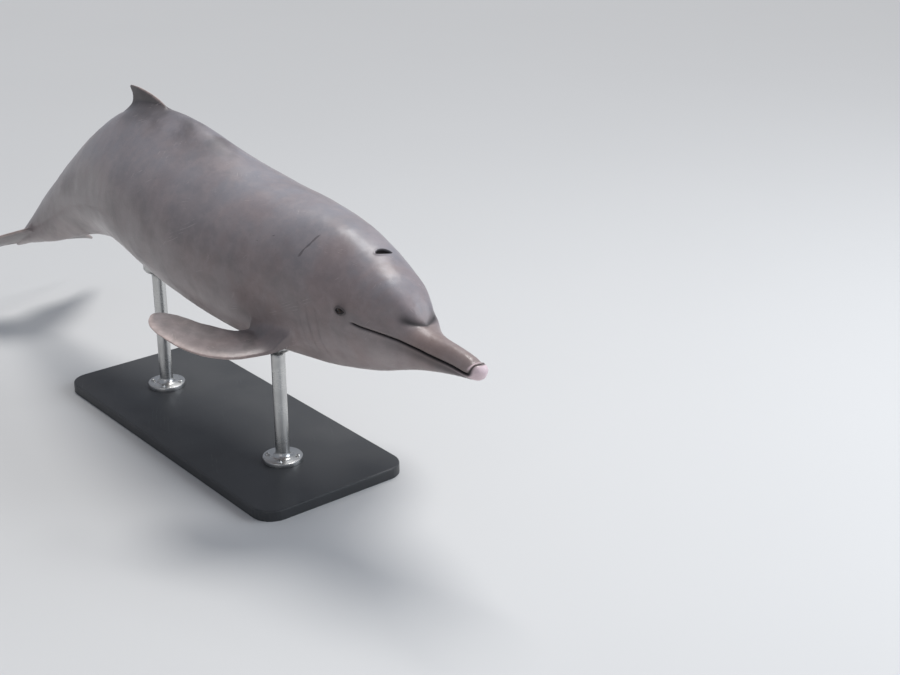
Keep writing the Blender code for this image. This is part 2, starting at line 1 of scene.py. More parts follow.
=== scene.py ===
"""Life-size humpback dolphin at the top of a leap, held over a plain display stand.

The animal is laid out straight along its spine, with the tip of the beak at station 0 and the notch
of the flukes near station 2.5, and wrapped in one skin with its fins grown out of it. Folds, lids
and creases are raised and sunk on that skin, which is then bent and banked into the leap. Metres,
+X toward the beak, +Y to the animal's left, +Z up.
"""

import json
import logging
import math
from contextlib import contextmanager
from dataclasses import dataclass, field
from enum import Enum
from functools import cache, reduce
from typing import Callable, Iterator, Sequence

import bmesh
import bpy
import numpy as np
from mathutils import Matrix, Vector
from mathutils.bvhtree import BVHTree

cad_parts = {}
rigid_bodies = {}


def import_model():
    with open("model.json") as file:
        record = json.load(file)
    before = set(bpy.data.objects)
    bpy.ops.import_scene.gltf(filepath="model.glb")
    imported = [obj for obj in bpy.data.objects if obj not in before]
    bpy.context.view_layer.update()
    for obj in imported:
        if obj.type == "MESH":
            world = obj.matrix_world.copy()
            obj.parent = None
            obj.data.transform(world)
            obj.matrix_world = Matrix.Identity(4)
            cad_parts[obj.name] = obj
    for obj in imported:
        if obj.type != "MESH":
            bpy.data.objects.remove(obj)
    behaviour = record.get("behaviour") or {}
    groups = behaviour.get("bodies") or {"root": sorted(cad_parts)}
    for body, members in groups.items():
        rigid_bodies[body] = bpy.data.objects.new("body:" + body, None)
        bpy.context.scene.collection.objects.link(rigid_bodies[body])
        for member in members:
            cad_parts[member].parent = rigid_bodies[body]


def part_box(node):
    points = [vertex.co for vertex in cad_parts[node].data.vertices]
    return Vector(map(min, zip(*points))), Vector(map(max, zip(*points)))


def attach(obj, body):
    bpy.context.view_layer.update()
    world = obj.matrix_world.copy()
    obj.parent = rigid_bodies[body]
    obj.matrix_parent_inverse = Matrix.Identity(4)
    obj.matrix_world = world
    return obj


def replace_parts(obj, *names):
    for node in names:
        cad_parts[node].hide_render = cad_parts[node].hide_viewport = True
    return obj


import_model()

LOG = logging.getLogger("dolphin")
FAR_RING = 99
MASKS = ("fold", "pale", "tone", "blade", "lead", "ease")
FLESH = ("beak", "lower_jaw", "head", "chest", "trunk", "tail_stock", "dorsal_fin",
         "flipper_left", "flipper_right", "fluke_left", "fluke_right")

Array = np.ndarray
Triple = tuple[float, float, float]
Colour = Triple
Socket = bpy.types.NodeSocket
Value = float | tuple | Socket


# --------------------------------------------------------------------------- curves and masks


@dataclass(frozen=True)
class Profile:
    """A measure that changes smoothly along the body, level beyond both of its ends."""

    points: tuple[tuple[float, float], ...]

    def __call__(self, at: Array | float) -> Array:
        """Monotone cubic through the points.

        Args:
            at: Stations to read the measure at.

        Returns:
            The measure at each station.
        """
        x, v = np.array(self.points, float).T
        step = np.diff(x)
        rise = np.diff(v) / step
        steady = rise[:-1] * rise[1:] > 0
        before, after = np.where(steady, rise[:-1], 1.0), np.where(steady, rise[1:], 1.0)
        w1, w2 = 2 * step[1:] + step[:-1], step[1:] + 2 * step[:-1]
        inner = np.where(steady, (w1 + w2) / (w1 / before + w2 / after), 0.0)
        slope = np.concatenate([[rise[0]], inner, [rise[-1]]])
        at = np.clip(at, x[0], x[-1])
        i = np.clip(np.searchsorted(x, at, side="right") - 1, 0, len(step) - 1)
        t, h = (at - x[i]) / step[i], step[i]
        return ((1 + 2 * t) * (1 - t) ** 2 * v[i] + t * (1 - t) ** 2 * h * slope[i]
                + t * t * (3 - 2 * t) * v[i + 1] + t * t * (t - 1) * h * slope[i + 1])


def smooth(low: float, high: float, value: Array) -> Array:
    """Soft step from 0 at low to 1 at high, where low may be the larger of the two."""
    t = np.clip((value - low) / (high - low), 0.0, 1.0)
    return t * t * (3 - 2 * t)


def bell(value: Array, middle: float | Array, width: float | Array) -> Array:
    """Soft bump of height 1 round a middle."""
    return np.exp(-(((value - middle) / width) ** 2))


def spread(marks: Sequence[float], steps: Sequence[int]) -> list[float]:
    """Marks with even steps from each to the next, without the first mark."""
    runs = zip(marks, marks[1:], steps)
    return [value for low, high, count in runs for value in np.linspace(low, high, count + 1)[1:]]


def rounded(station: Array, reach: float) -> Array:
    """Quarter of an ellipse, from 0 at the start to 1 at its reach."""
    return np.sqrt(np.clip(1 - np.clip(1 - station / reach, 0, None) ** 2, 0, None))


def by_ring(rings: Array, values: tuple[float, ...]) -> Array:
    """Value of each ring round an opening, where the last one holds for all further out."""
    return np.array(values)[np.minimum(rings, len(values) - 1)]


def read(elements: bpy.types.bpy_prop_collection, name: str, width: int,
         kind: type = float) -> Array:
    """A property of all elements of a mesh, one row each."""
    values = np.empty(len(elements) * width, kind)
    elements.foreach_get(name, values)
    return values.reshape(-1, width)


def ripple(points: Array, scale: float, seed: float) -> Array:
    """Calm unevenness between -1 and 1, the same on each run.

    Args:
        points: Places, one a row.
        scale: Waves in a metre.
        seed: Shifts the waves.

    Returns:
        One value for each place.
    """
    x, y, z = (points[..., k] * scale * math.tau for k in range(3))
    first = np.sin(x + 1.7 * np.sin(0.61 * y + seed) + seed)
    second = np.sin(0.83 * y - 1.3 * np.sin(0.47 * z + 2.1 * seed) + 0.31 * x)
    third = np.sin(0.91 * z + 1.1 * np.sin(0.53 * x - seed) - 0.37 * y)
    return (first + second + third) / 3


# --------------------------------------------------------------------------- form of the animal


@dataclass(frozen=True)
class BodyForm:
    """Outline and sections of the straight body."""

    length: float = 2.50
    nose: float = 0.022
    taper: float = 0.040
    jaw_setback: float = 0.014
    jaw_reach: float = 0.060
    chin_top: float = 0.25
    chin_drop: float = 0.018
    ridge: float = 0.068
    back: Profile = Profile((
        (0.02, -0.016), (0.10, -0.002), (0.17, 0.007), (0.205, 0.018), (0.24, 0.063), (0.29, 0.105),
        (0.35, 0.134), (0.42, 0.163), (0.52, 0.186), (0.66, 0.195), (0.85, 0.193), (1.05, 0.200),
        (1.25, 0.203), (1.45, 0.192), (1.65, 0.167), (1.85, 0.136), (2.05, 0.103), (2.22, 0.070),
        (2.36, 0.034), (2.44, 0.019), (2.50, 0.006)))
    belly: Profile = Profile((
        (0.02, -0.060), (0.10, -0.070), (0.20, -0.088), (0.35, -0.135), (0.50, -0.172),
        (0.70, -0.205), (0.95, -0.226), (1.20, -0.220), (1.45, -0.192), (1.65, -0.162),
        (1.85, -0.130), (2.05, -0.098), (2.22, -0.066), (2.36, -0.031), (2.44, -0.017),
        (2.50, -0.006)))
    widest: Profile = Profile((
        (0.00, -0.0220), (0.005, -0.0240), (0.010, -0.0300), (0.017, -0.0400), (0.028, -0.0455),
        (0.085, -0.040), (0.146, -0.034), (0.20, -0.023), (0.24, -0.013), (0.30, -0.006),
        (0.335, -0.0045), (0.357, -0.002), (0.45, -0.004), (0.65, -0.008), (1.00, -0.018),
        (1.60, -0.004), (2.50, 0.000)))
    half_width: Profile = Profile((
        (0.02, 0.0235), (0.10, 0.0265), (0.17, 0.037), (0.205, 0.049), (0.24, 0.065), (0.29, 0.086),
        (0.35, 0.103), (0.42, 0.118), (0.52, 0.140), (0.66, 0.168), (0.85, 0.193), (1.05, 0.199),
        (1.25, 0.188), (1.45, 0.163), (1.65, 0.126), (1.85, 0.088), (2.05, 0.056), (2.22, 0.038),
        (2.36, 0.028), (2.44, 0.017), (2.50, 0.007)))
    keel_above: Profile = Profile((
        (0.00, 0.85), (0.20, 0.90), (0.30, 0.92), (0.60, 0.95), (1.10, 1.05), (1.60, 1.20),
        (2.00, 1.50), (2.30, 1.40), (2.50, 1.00)))
    keel_below: Profile = Profile((
        (0.00, 0.80), (0.30, 0.85), (0.90, 0.90), (1.30, 1.00), (1.70, 1.25), (2.00, 1.50),
        (2.30, 1.40), (2.50, 1.00)))
    hump: Profile = Profile((
        (0.92, 0.000), (1.04, 0.011), (1.12, 0.027), (1.20, 0.041), (1.28, 0.050), (1.38, 0.059),
        (1.50, 0.062), (1.60, 0.051), (1.70, 0.033), (1.80, 0.016), (1.90, 0.005), (1.98, 0.000)))

    def surface(self, station: Array, angle: Array) -> Array:
        """Points of the straight skin.

        Args:
            station: Distances back from the tip of the beak.
            angle: Angles round the section, a quarter turn at the back and none at the left side.

        Returns:
            Points, with the last axis x, y, z.
        """
        station, angle = np.broadcast_arrays(station, angle)
        nose, blunt = rounded(station, self.nose), rounded(station, self.taper)
        side, up = np.cos(angle), np.sin(angle)
        middle = self.widest(station)
        above = up > 0
        height = np.where(above, (self.back(station) - middle) * blunt,
                          (middle - self.belly(station)) * nose)
        keel = np.where(above, self.keel_above(station), self.keel_below(station))
        y = self.half_width(station) * nose * np.sign(side) * np.abs(side) ** keel
        # The lower jaw ends in a rounded chin in front of the upper one.
        chin = np.clip(-up / self.chin_top, 0, 1) * (math.pi / 2)
        z = middle + height * up - self.chin_drop * (1 - nose) * (1 - np.cos(chin))
        z = z + np.where(above, self.hump(station) * np.exp(-((y / self.ridge) ** 2)), 0.0)
        ahead = np.clip(1 - station / self.jaw_reach, 0, None)
        return np.stack([-station - self.jaw_setback * (1 - np.sin(chin)) * ahead, y, z], axis=-1)


@dataclass(frozen=True)
class Spine:
    """Curve of the leap, as the pitch of the spine in degrees, and the roll of the whole body."""

    pitch: Profile = Profile(((0.15, -2.8), (0.70, 3.8), (1.30, 0.0), (2.00, -29.7)))
    bank: float = math.radians(-5.1)
    reach: float = 2.8

    def bend(self, points: Array) -> Array:
        """Carry points of the straight animal along the spine.

        Args:
            points: Places, one a row.

        Returns:
            The same places on the bent and banked animal, with the spine starting at the origin.
        """
        fine = np.linspace(0.0, self.reach, 5601)
        lean = np.radians(self.pitch(fine))
        gaps = np.diff(fine)
        run = -np.concatenate([[0], np.cumsum((np.cos(lean)[1:] + np.cos(lean)[:-1]) / 2 * gaps)])
        rise = np.concatenate([[0], np.cumsum((np.sin(lean)[1:] + np.sin(lean)[:-1]) / 2 * gaps)])
        station = np.clip(-points[:, 0], 0.0, None)
        turn = np.radians(self.pitch(station))
        ahead = points[:, 0] + station
        x = np.interp(station, fine, run) + np.cos(turn) * ahead + np.sin(turn) * points[:, 2]
        z = np.interp(station, fine, rise) - np.sin(turn) * ahead + np.cos(turn) * points[:, 2]
        y = points[:, 1]
        cos, sin = math.cos(self.bank), math.sin(self.bank)
        return np.stack([x, cos * y - sin * z, sin * y + cos * z], axis=1)


# --------------------------------------------------------------------------- fins


def refined(rows: Array, steps: int) -> Array:
    """Rows of numbers with smooth rows added between them.

    Args:
        rows: Rows to pass through.
        steps: Steps from one row to the next.

    Returns:
        The finer rows.
    """
    index = np.arange(len(rows), dtype=float)
    fine = np.linspace(0, len(rows) - 1, (len(rows) - 1) * steps + 1)
    return np.stack([Profile(tuple(zip(index, column)))(fine) for column in rows.T], axis=1)


@dataclass(frozen=True)
class Blade:
    """A fin that grows out of a rectangular hole in the grid of the skin."""

    hole: tuple[float, float, float, float]
    finer: int = 4
    ragged: float = 0.0011
    cap_depth: float = 1.6
    cap_turns: tuple[float, ...] = (30, 58, 80)

    def sections(self, form: BodyForm) -> Array:
        """Leading edge, trailing edge, normal and half thickness, from root to tip.

        Args:
            form: The body that the fin stands on.

        Returns:
            The rows.
        """
        raise NotImplementedError

    def rings(self, form: BodyForm, along: int, across: int) -> tuple[Array, Array]:
        """Closed sections of the blade from its root to its rounded tip.

        Args:
            form: The body that it stands on.
            along: Faces along the chord, on each of its two sides.
            across: Faces round each of its two edges.

        Returns:
            Points as (section, place in the ring, axis), and their distances from the leading edge.
        """
        rows = refined(self.sections(form), self.finer)
        span = np.linspace(0, 1, len(rows))
        chords = rows[:, 3:6] - rows[:, 0:3]
        size = np.linalg.norm(chords, axis=1, keepdims=True)
        rows[:, 3:6] -= chords / size * (self.ragged * self.nicks(span))[:, None]
        rings, edges = [], []
        for row in rows:
            ring, share = self.ring(row, along, across)
            rings.append(ring)
            edges.append(share * np.linalg.norm(row[3:6] - row[0:3]))
        outward = rings[-1].mean(axis=0) - rings[-3].mean(axis=0)
        outward /= np.linalg.norm(outward)
        last, depth = rings[-1], rows[-1, 9] * self.cap_depth
        for turn in self.cap_turns:
            turned = math.radians(turn)
            shrink = (last - last.mean(axis=0)) * math.cos(turned)
            rings.append(last.mean(axis=0) + shrink + outward * depth * math.sin(turned))
            edges.append(edges[-1])
        return np.array(rings), np.array(edges)

    @staticmethod
    def nicks(span: Array) -> Array:
        """How deep the trailing edge is nicked along its span, fading out at both ends."""
        waves = np.sin(19 * span) + 0.7 * np.sin(37 * span + 1)
        bites = 2.2 * bell(span, 0.62, 0.035) + 1.8 * bell(span, 0.36, 0.03)
        return (waves + bites) * smooth(0.1, 0.3, span) * smooth(1.0, 0.85, span)

    @staticmethod
    def ring(row: Array, along: int, across: int) -> tuple[Array, Array]:
        """One closed section, from the leading edge along one side, round the trailing edge and back.

        Args:
            row: Leading edge, trailing edge, normal and half thickness.
            along: Faces along the chord.
            across: Faces round each edge.

        Returns:
            Points, and the share of the chord of each.
        """
        lead, trail, normal, half = row[0:3], row[3:6], row[6:9], row[9]
        normal = normal / np.linalg.norm(normal)

        def thickness(c: Array | float) -> Array:
            """Half thickness at a share of the chord."""
            bulge = 0.2969 * np.sqrt(c) - 0.126 * c - 0.3516 * c**2 + 0.2843 * c**3 - 0.0952 * c**4
            return half * 5 * bulge

        first, last = 0.035, 0.975
        share = first + (last - first) * (0.5 - 0.5 * np.cos(math.pi * np.arange(along + 1) / along))
        turn = math.pi * np.arange(across + 1) / across - math.pi / 2
        side = thickness(share)
        c = np.concatenate([share[:-1], (last + (1 - last) * np.cos(turn))[:-1], share[:0:-1],
                            (first - first * np.cos(turn))[:-1]])
        t = np.concatenate([-side[:-1], (thickness(last) * np.sin(turn))[:-1], side[:0:-1],
                            (-thickness(first) * np.sin(turn))[:-1]])
        return lead + np.outer(c, trail - lead) + np.outer(t, normal), c


@dataclass(frozen=True)
class DorsalFin(Blade):
    """Small swept fin on the hump. Rows: height, leading edge, trailing edge, half thickness."""

    table: tuple[tuple[float, ...], ...] = (
        (0.264, 1.396, 1.556, 0.0088), (0.274, 1.420, 1.555, 0.0073), (0.284, 1.452, 1.558, 0.0058),
        (0.292, 1.486, 1.562, 0.0046), (0.299, 1.520, 1.566, 0.0034), (0.3025, 1.546, 1.563, 0.0022))

    def sections(self, form: BodyForm) -> Array:
        """Leading edge, trailing edge, normal and half thickness, from root to tip.

        Args:
            form: The body that the fin stands on; not used.

        Returns:
            The rows.
        """
        return np.array([(-lead, 0, z, -trail, 0, z, 0, -1, 0, half)
                         for z, lead, trail, half in self.table])


@dataclass(frozen=True)
class Fluke(Blade):
    """Left half of the tail fin. Rows: distance out, leading edge, trailing edge, half thickness."""

    table: tuple[tuple[float, ...], ...] = (
        (0.052, 2.284, 2.500, 0.0130), (0.068, 2.297, 2.511, 0.0120), (0.090, 2.315, 2.517, 0.0109),
        (0.115, 2.338, 2.519, 0.0098), (0.150, 2.370, 2.521, 0.0085),
        (0.200, 2.421, 2.527, 0.0066), (0.250, 2.478, 2.541, 0.0046), (0.285, 2.522, 2.557, 0.0032),
        (0.303, 2.549, 2.570, 0.0022), (0.310, 2.563, 2.574, 0.0014))

    def sections(self, form: BodyForm) -> Array:
        """Leading edge, trailing edge, normal and half thickness, from root to tip.

        Args:
            form: The body that the fin stands on; not used.

        Returns:
            The rows.
        """
        return np.array([(-lead, y, 0, -trail, y, 0, 0, 0, 1, half)
                         for y, lead, trail, half in self.table])


@dataclass(frozen=True)
class Flipper(Blade):
    """Left flipper. Rows: share of the length, sweep, droop and edge twist in degrees, leading edge
    and trailing edge as shares of the chord, half thickness."""

    length: float = 0.35
    chord: float = 0.132
    root: tuple[float, float] = (0.62, -35.0)
    table: tuple[tuple[float, ...], ...] = (
        (0.14, 14, 26, 5, -0.50, 0.50, 0.0185), (0.30, 34, 12, 7, -0.53, 0.52, 0.0160),
        (0.46, 52, 3, 9, -0.53, 0.50, 0.0130), (0.62, 62, -2, 9, -0.49, 0.47, 0.0102),
        (0.78, 66, -5, 9, -0.395, 0.415, 0.0076), (0.85, 67, -6, 9, -0.350, 0.385, 0.0062),
        (0.91, 68, -6, 9, -0.275, 0.340, 0.0050), (0.952, 68, -6, 9, -0.190, 0.290, 0.0040),
        (0.980, 68, -6, 9, -0.105, 0.240, 0.0031), (1.00, 68, -6, 9, 0.00, 0.17, 0.0022))

    def sections(self, form: BodyForm) -> Array:
        """Leading edge, trailing edge, normal and half thickness, from root to tip.

        Args:
            form: The body that the fin stands on.

        Returns:
            The rows.
        """
        station, angle = self.root
        place = form.surface(np.array(station), np.array(math.radians(angle)))
        rows, reached = [], 0.0
        for share, sweep, droop, twist, lead, trail, half in self.table:
            sweep, droop, twist = map(math.radians, (sweep, droop, twist))
            span = np.array((-math.sin(sweep) * math.cos(droop), math.cos(sweep) * math.cos(droop),
                             -math.sin(droop)))
            back = np.array((-math.cos(sweep) * math.cos(twist), -math.sin(sweep) * math.cos(twist),
                             math.sin(twist)))
            place = place + span * (share - reached) * self.length
            reached = share
            normal = np.cross(span, back)
            normal *= math.copysign(1 / np.linalg.norm(normal), normal[2])
            rows.append(np.concatenate([place + back * self.chord * lead,
                                        place + back * self.chord * trail, normal, [half]]))
        return np.array(rows)


# --------------------------------------------------------------------------- openings of the head


class Rim(Enum):
    """Outline of an opening."""

    ALMOND = "almond"
    CRESCENT = "crescent"


@dataclass(frozen=True)
class Opening:
    """A place where the rings of the grid close in on an eye or the blowhole."""

    rim: Rim
    station: float
    angle: float
    half_along: float
    half_round: float
    bow: float = 0.0
    edge: int = 4
    rings: int = 12
    growth: tuple[float, ...] = (0.0, 0.0010, 0.0023, 0.0040, 0.0062, 0.0090, 0.0125, 0.0165, 0.021)
    shares: tuple[float, ...] = (0.0, 0.42, 0.74, 0.92, 1.0)

    def gather(self, form: BodyForm, stations: Array, angles: Array, column: int) -> Array:
        """Draw the grid round the opening into rings that follow its rim.

        Args:
            form: The body that it lies on.
            stations: Station of each grid point, changed in place.
            angles: Angle of each grid point, changed in place.
            column: Column through the middle of the opening.

        Returns:
            The ring that each grid point lies on, FAR_RING away from the opening.
        """
        row = int(np.argmin(abs(stations[:, column] - self.station)))
        rows = np.arange(row - self.rings, row + self.rings + 1)
        last = stations.shape[1] // 2
        columns = np.arange(column - self.rings, min(column + self.rings, last) + 1)
        block = np.ix_(rows, columns)
        di, dj = np.meshgrid(rows - row, columns - column, indexing="ij")
        ring = np.maximum(abs(di), abs(dj))
        turn = np.arctan2(dj, di)
        cos, sin = np.cos(turn), np.sin(turn)
        aside = 0.12
        near = form.surface(np.array(self.station), self.angle + np.array([-aside, aside]))
        metre = np.linalg.norm(near[1] - near[0]) / (2 * aside)
        along, round_ = stations[block] - self.station, (angles[block] - self.angle) * metre
        share = np.array(self.shares)[np.minimum(ring, self.edge)]
        grown = np.array(self.growth)[np.clip(ring - self.edge, 0, len(self.growth) - 1)]
        a, b = self.half_along * share + grown, self.half_round * share + grown
        calm = smooth(self.edge, self.edge + 5, ring)
        if self.rim is Rim.ALMOND:
            u = a * cos
            v = b * np.sign(sin) * np.abs(sin) ** (1.45 - 0.45 * calm)
            v = np.where(sin < 0, v * 0.86, v) - 0.0015 * (u / self.half_along) * (1 - calm)
        else:
            v = b * sin
            u = a * np.sign(cos) * np.abs(cos) ** (1.3 - 0.3 * calm)
            u = u - self.bow * np.clip(v / self.half_round, -1.2, 1.2) ** 2 * (1 - 0.6 * calm)
        keep = 1 - smooth(self.edge + 3, self.rings, ring)
        stations[block] = self.station + along + (u - along) * keep
        angles[block] = self.angle + (round_ + (v - round_) * keep) / metre
        found = np.full(stations.shape, FAR_RING)
        found[block] = ring
        return found


# --------------------------------------------------------------------------- sewing the skin


@dataclass
class Sewing:
    """Points, faces and masks of the skin while it is put together."""

    points: list[Array] = field(default_factory=list)
    faces: list[tuple[int, ...]] = field(default_factory=list)
    masks: dict[str, list[Array]] = field(default_factory=dict)
    count: int = 0

    def add(self, points: Array, **masks: Array | float) -> Array:
        """Add points.

        Args:
            points: Places, with the last axis x, y, z.
            masks: Values for each of them, or one for all, and 0 where none are given.

        Returns:
            Their numbers, in the shape of the points.
        """
        shape = points.shape[:-1]
        size = int(np.prod(shape))
        self.points.append(points.reshape(-1, 3))
        for name in MASKS:
            value = np.broadcast_to(masks.get(name, 0.0), shape)
            self.masks.setdefault(name, []).append(value.reshape(-1))
        numbers = np.arange(self.count, self.count + size).reshape(shape)
        self.count += size
        return numbers

    def strip(self, first: Array, second: Array, closed: bool = True) -> None:
        """Join two rows of points with faces.

        Args:
            first: Numbers of the points of one row.
            second: Those of the other.
            closed: Whether the last points join the first ones.
        """
        size = len(first)
        for k in range(size if closed else size - 1):
            n = (k + 1) % size
            self.faces.append((first[k], first[n], second[n], second[k]))


@dataclass
class Skin:
    """The one skin of the animal: body, beak, jaw, lids and every fin."""

    form: BodyForm = field(default_factory=BodyForm)
    spine: Spine = field(default_factory=Spine)
    gape: float = 0.357
    eye_station: float = 0.393
    eye_height: float = 0.017
    eye_radius: float = 0.019
    eye_proud: float = 0.004
    dorsal: DorsalFin = DorsalFin((1.372, 1.60, 78.6, 101.4), ragged=0.0004)
    flipper: Flipper = Flipper((0.545, 0.695, -44.3, -25), ragged=0.0007)
    fluke: Fluke = Fluke((2.270, 2.475, -20, 20))
    mouth_columns: tuple[float, ...] = (0.35, 0.8, 1.4, 2.2, 3.3, 4.8, 6.8, 9.4, 12.4)
    belly_columns: tuple[float, ...] = (0.4, 1.0, 1.8, 2.9)
    melon_foot: float = 0.207
    blowhole_station: float = 0.385
    blowhole_lean: float = 0.22
    notch: float = 2.482
    neck_folds: tuple[tuple[float, float], ...] = ((0.468, 0.8), (0.497, 1.0), (0.522, 0.6))
    slits: tuple[tuple[float, ...], ...] = (
        (1.158, 1.164, 1.180, 1.186), (1.560, 1.572, 1.648, 1.662), (1.774, 1.780, 1.798, 1.804))
    pocket: tuple[float, ...] = (-0.016, -0.015, -0.0115, -0.0050, -0.0004, 0.0014, 0.0016, 0.0007,
                                 0.0001, 0.0003, 0.0)
    lid_clearance: tuple[float, ...] = (-0.0016, -0.0016, -0.0016, -0.0012, 0.0005, 0.0019, 0.0021,
                                        0.0007, 0.0012, 0.0006, 0.0002, 0.0)
    pocket_shade: tuple[float, ...] = (1.0, 1.0, 1.0, 1.0, 0.6, 0.30, 0.0)
    lid_shade: tuple[float, ...] = (0.9, 0.9, 0.9, 0.9, 0.9, 0.62, 0.34, 0.40, 0.0)
    fin_tone: float = 0.72
    blend_steps: int = 12
    ease_rows: int = 11
    ease_passes: int = 110
    ease_push: tuple[float, float] = (0.50, -0.513)

    @property
    def eye_angle(self) -> float:
        """Angle of the eyes up the side of the head."""
        middle = float(self.form.widest(self.eye_station))
        back = float(self.form.back(self.eye_station))
        return math.asin((self.eye_height - middle) / (back - middle))

    def eye_centre(self, side: int) -> Array:
        """Middle of an eyeball on the straight animal, +1 for the left one."""
        place = self.form.surface(np.array(self.eye_station), np.array(self.eye_angle))
        return np.array((place[0], side * (place[1] + self.eye_proud - self.eye_radius), place[2]))

    def half_columns(self, dense: bool) -> Array:
        """Angles from the belly up the left side to the back, in degrees.

        Args:
            dense: Whether the columns close in on the line of the mouth.

        Returns:
            The angles, of the same count either way.
        """
        fold = self.mouth_columns
        keel = [-90.0] + [-90 + k for k in self.belly_columns]
        low = keel + spread((keel[-1], -50, -30, -20), (13, 7, 4))
        high = spread((30, 70, 90), (14, 7))
        if dense:
            middle = [*spread((-20, -fold[-1]), (3,)), *(-f for f in fold[-2::-1]), 0.0, *fold,
                      *spread((fold[-1], 30), (6,))]
        else:
            middle = spread((-20, 30), (2 * len(fold) + 9,))
        return np.array(low + middle + high)

    def stations(self) -> Array:
        """Stations of the rings: close at the tip and the head, and at the roots of the fins.

        Returns:
            The stations, tip to notch.
        """
        turn = np.radians((3, 8, 14, 20, 26, 32, 38, 44, 50, 56, 62, 68, 74, 80, 85))
        holes = [mark for blade in (self.flipper, self.dorsal, self.fluke) for mark in blade.hole[:2]]
        marks = [self.form.nose, self.melon_foot, self.gape, self.blowhole_station, self.eye_station,
                 0.50, *holes, self.notch - 0.001]
        steps = (68, 62, 12, 4, 44, 9, 30, 62, 34, 62, 36, 3)
        tip = self.form.nose * (1 - np.cos(turn))
        return np.unique(np.round([*tip, marks[0], *spread(marks, steps)], 5))

    def grid(self) -> tuple[Array, Array, Array, Array]:
        """Station and angle of each grid point, and its ring round the eye and the blowhole.

        Returns:
            Tables of one row for each station and one column for each angle.
        """
        stations = self.stations()
        dense, even = np.radians(self.half_columns(True)), np.radians(self.half_columns(False))
        near = smooth(self.flipper.hole[0], 0.455, stations)[:, None]
        half = dense[None] * near + even[None] * (1 - near)
        # The close columns leave the line of the mouth behind its corner and rise to the eye.
        rise = self.eye_angle * smooth(0.360, 0.386, stations) * smooth(0.46, 0.402, stations)
        half = half + rise[:, None] * (1 - smooth(0.22, 0.85, abs(dense)))[None]
        top = half.shape[1] - 1
        s = np.repeat(stations[:, None], 2 * top, axis=1)
        a = np.concatenate([half, np.pi - half[:, -2:0:-1]], axis=1)
        eye = Opening(Rim.ALMOND, self.eye_station, self.eye_angle, half_along=0.0140,
                      half_round=0.0068)
        blowhole = Opening(Rim.CRESCENT, self.blowhole_station, math.pi / 2, half_along=0.0086,
                           half_round=0.0225, bow=0.0028)
        middle = int(np.argmin(abs(dense)))
        lid = eye.gather(self.form, s, a, middle)
        hole = blowhole.gather(self.form, s, a, top)
        for table in (s, lid, hole):
            table[:, top + 1:] = table[:, top - 1:0:-1]
        a[:, top + 1:] = np.pi - a[:, top - 1:0:-1]
        # The blowhole lies a little askew, its left end toward the beak.
        aside = self.form.half_width(s) * np.cos(a)
        near = bell(s, self.blowhole_station, 0.030) * bell(aside, 0, 0.035)
        s -= self.blowhole_lean * aside * near
        return s, a, lid, hole

    def mouth(self, s: Array, over: Array) -> tuple[Array, Array, Array]:
        """Line of the mouth, its lips, the shade under them and the blush of the jaw.

        Args:
            s: Stations.
            over: Heights over the line.

        Returns:
            Height of the skin, how dark its painted shade is, and how pale it is.
        """
        forward = smooth(self.gape + 0.008, self.gape - 0.010, s)
        groove = bell(over, 0, 0.0009 + 0.0012 * smooth(0.0, 0.020, s)) * forward
        lips = bell(abs(over), 0.0062, 0.0030) * forward
        blunt = smooth(0.008, 0.034, s)
        height = -(0.0012 + 0.0034 * blunt) * groove + 0.0011 * lips * blunt
        # Painted shade: a dark line along the groove of the mouth, and a dark band on the side of the
        # lower jaw under the lip.
        line = (0.0012 + 0.0022 * smooth(0.0, 0.020, s)) * (1 - 0.35 * smooth(0.12, 0.34, s))
        faint = 0.5 + 0.5 * smooth(0.002, 0.024, s)
        under = bell(over, -0.014, 0.013) * smooth(0.30, 0.17, s) * smooth(0.028, 0.044, s)
        dark = bell(over, -0.0006, line) * forward * faint + 0.52 * under
        jaw = smooth(0.033, 0.009, s) * smooth(-0.0002, -0.0022, over)
        lip = bell(over, -0.0062, 0.0022) * smooth(0.17, 0.06, s) * 0.45
        bump = bell(s, 0.014, 0.011) * bell(over, 0.010, 0.006) * 0.7
        return height, dark, np.clip(jaw + lip + bump, 0, 1)

    @staticmethod
    def melon(s: Array, lift: Array) -> tuple[Array, Array]:
        """Crease where the melon ends over the beak, which runs out into a valley over the cheek.

        Args:
            s: Stations.
            lift: Angles up the side, in degrees.

        Returns:
            Height of the skin, and how dark its painted shade is.
        """
        border = 29 + 66 * np.exp(-np.clip(s - 0.2045, 0, None) / 0.016)
        inside = smooth(0.196, 0.2055, s)
        width = 11 + 40 * np.clip(s - 0.23, 0, 0.12)
        crease = bell(lift, border, width) * inside * smooth(0.360, 0.235, s)
        height = -(0.0030 + 0.0022 * bell(s, 0.29, 0.04)) * crease
        height += 0.0036 * bell(s, 0.285, 0.055) * bell(lift, border + 30, 15) * inside
        height += 0.0018 * bell(s, 0.392, 0.030) * bell(lift, 21, 6)
        # Painted shade: the crease is darkened as a shadow under the overhanging melon, and the brow
        # over it more lightly.
        painted_brow_shade = 0.26 * bell(lift, border + 14, 13) * inside
        return height, 0.85 * (crease + painted_brow_shade) * smooth(0.262, 0.222, s)

    def throat(self, s: Array, lift: Array) -> tuple[Array, Array]:
        """Folds of the neck.

        Args:
            s: Stations.
            lift: Angles up the side, in degrees.

        Returns:
            Height of the skin, and how dark it is.
        """
        sway = 0.016 * np.sin(np.radians(lift * 1.7))
        folds = sum(bell(s, at + sway, 0.0036) * weight for at, weight in self.neck_folds)
        folds = folds * bell(lift, -22, 26)
        # The folds are sunk and darkened with painted shade.
        return -0.0018 * folds, 0.16 * folds

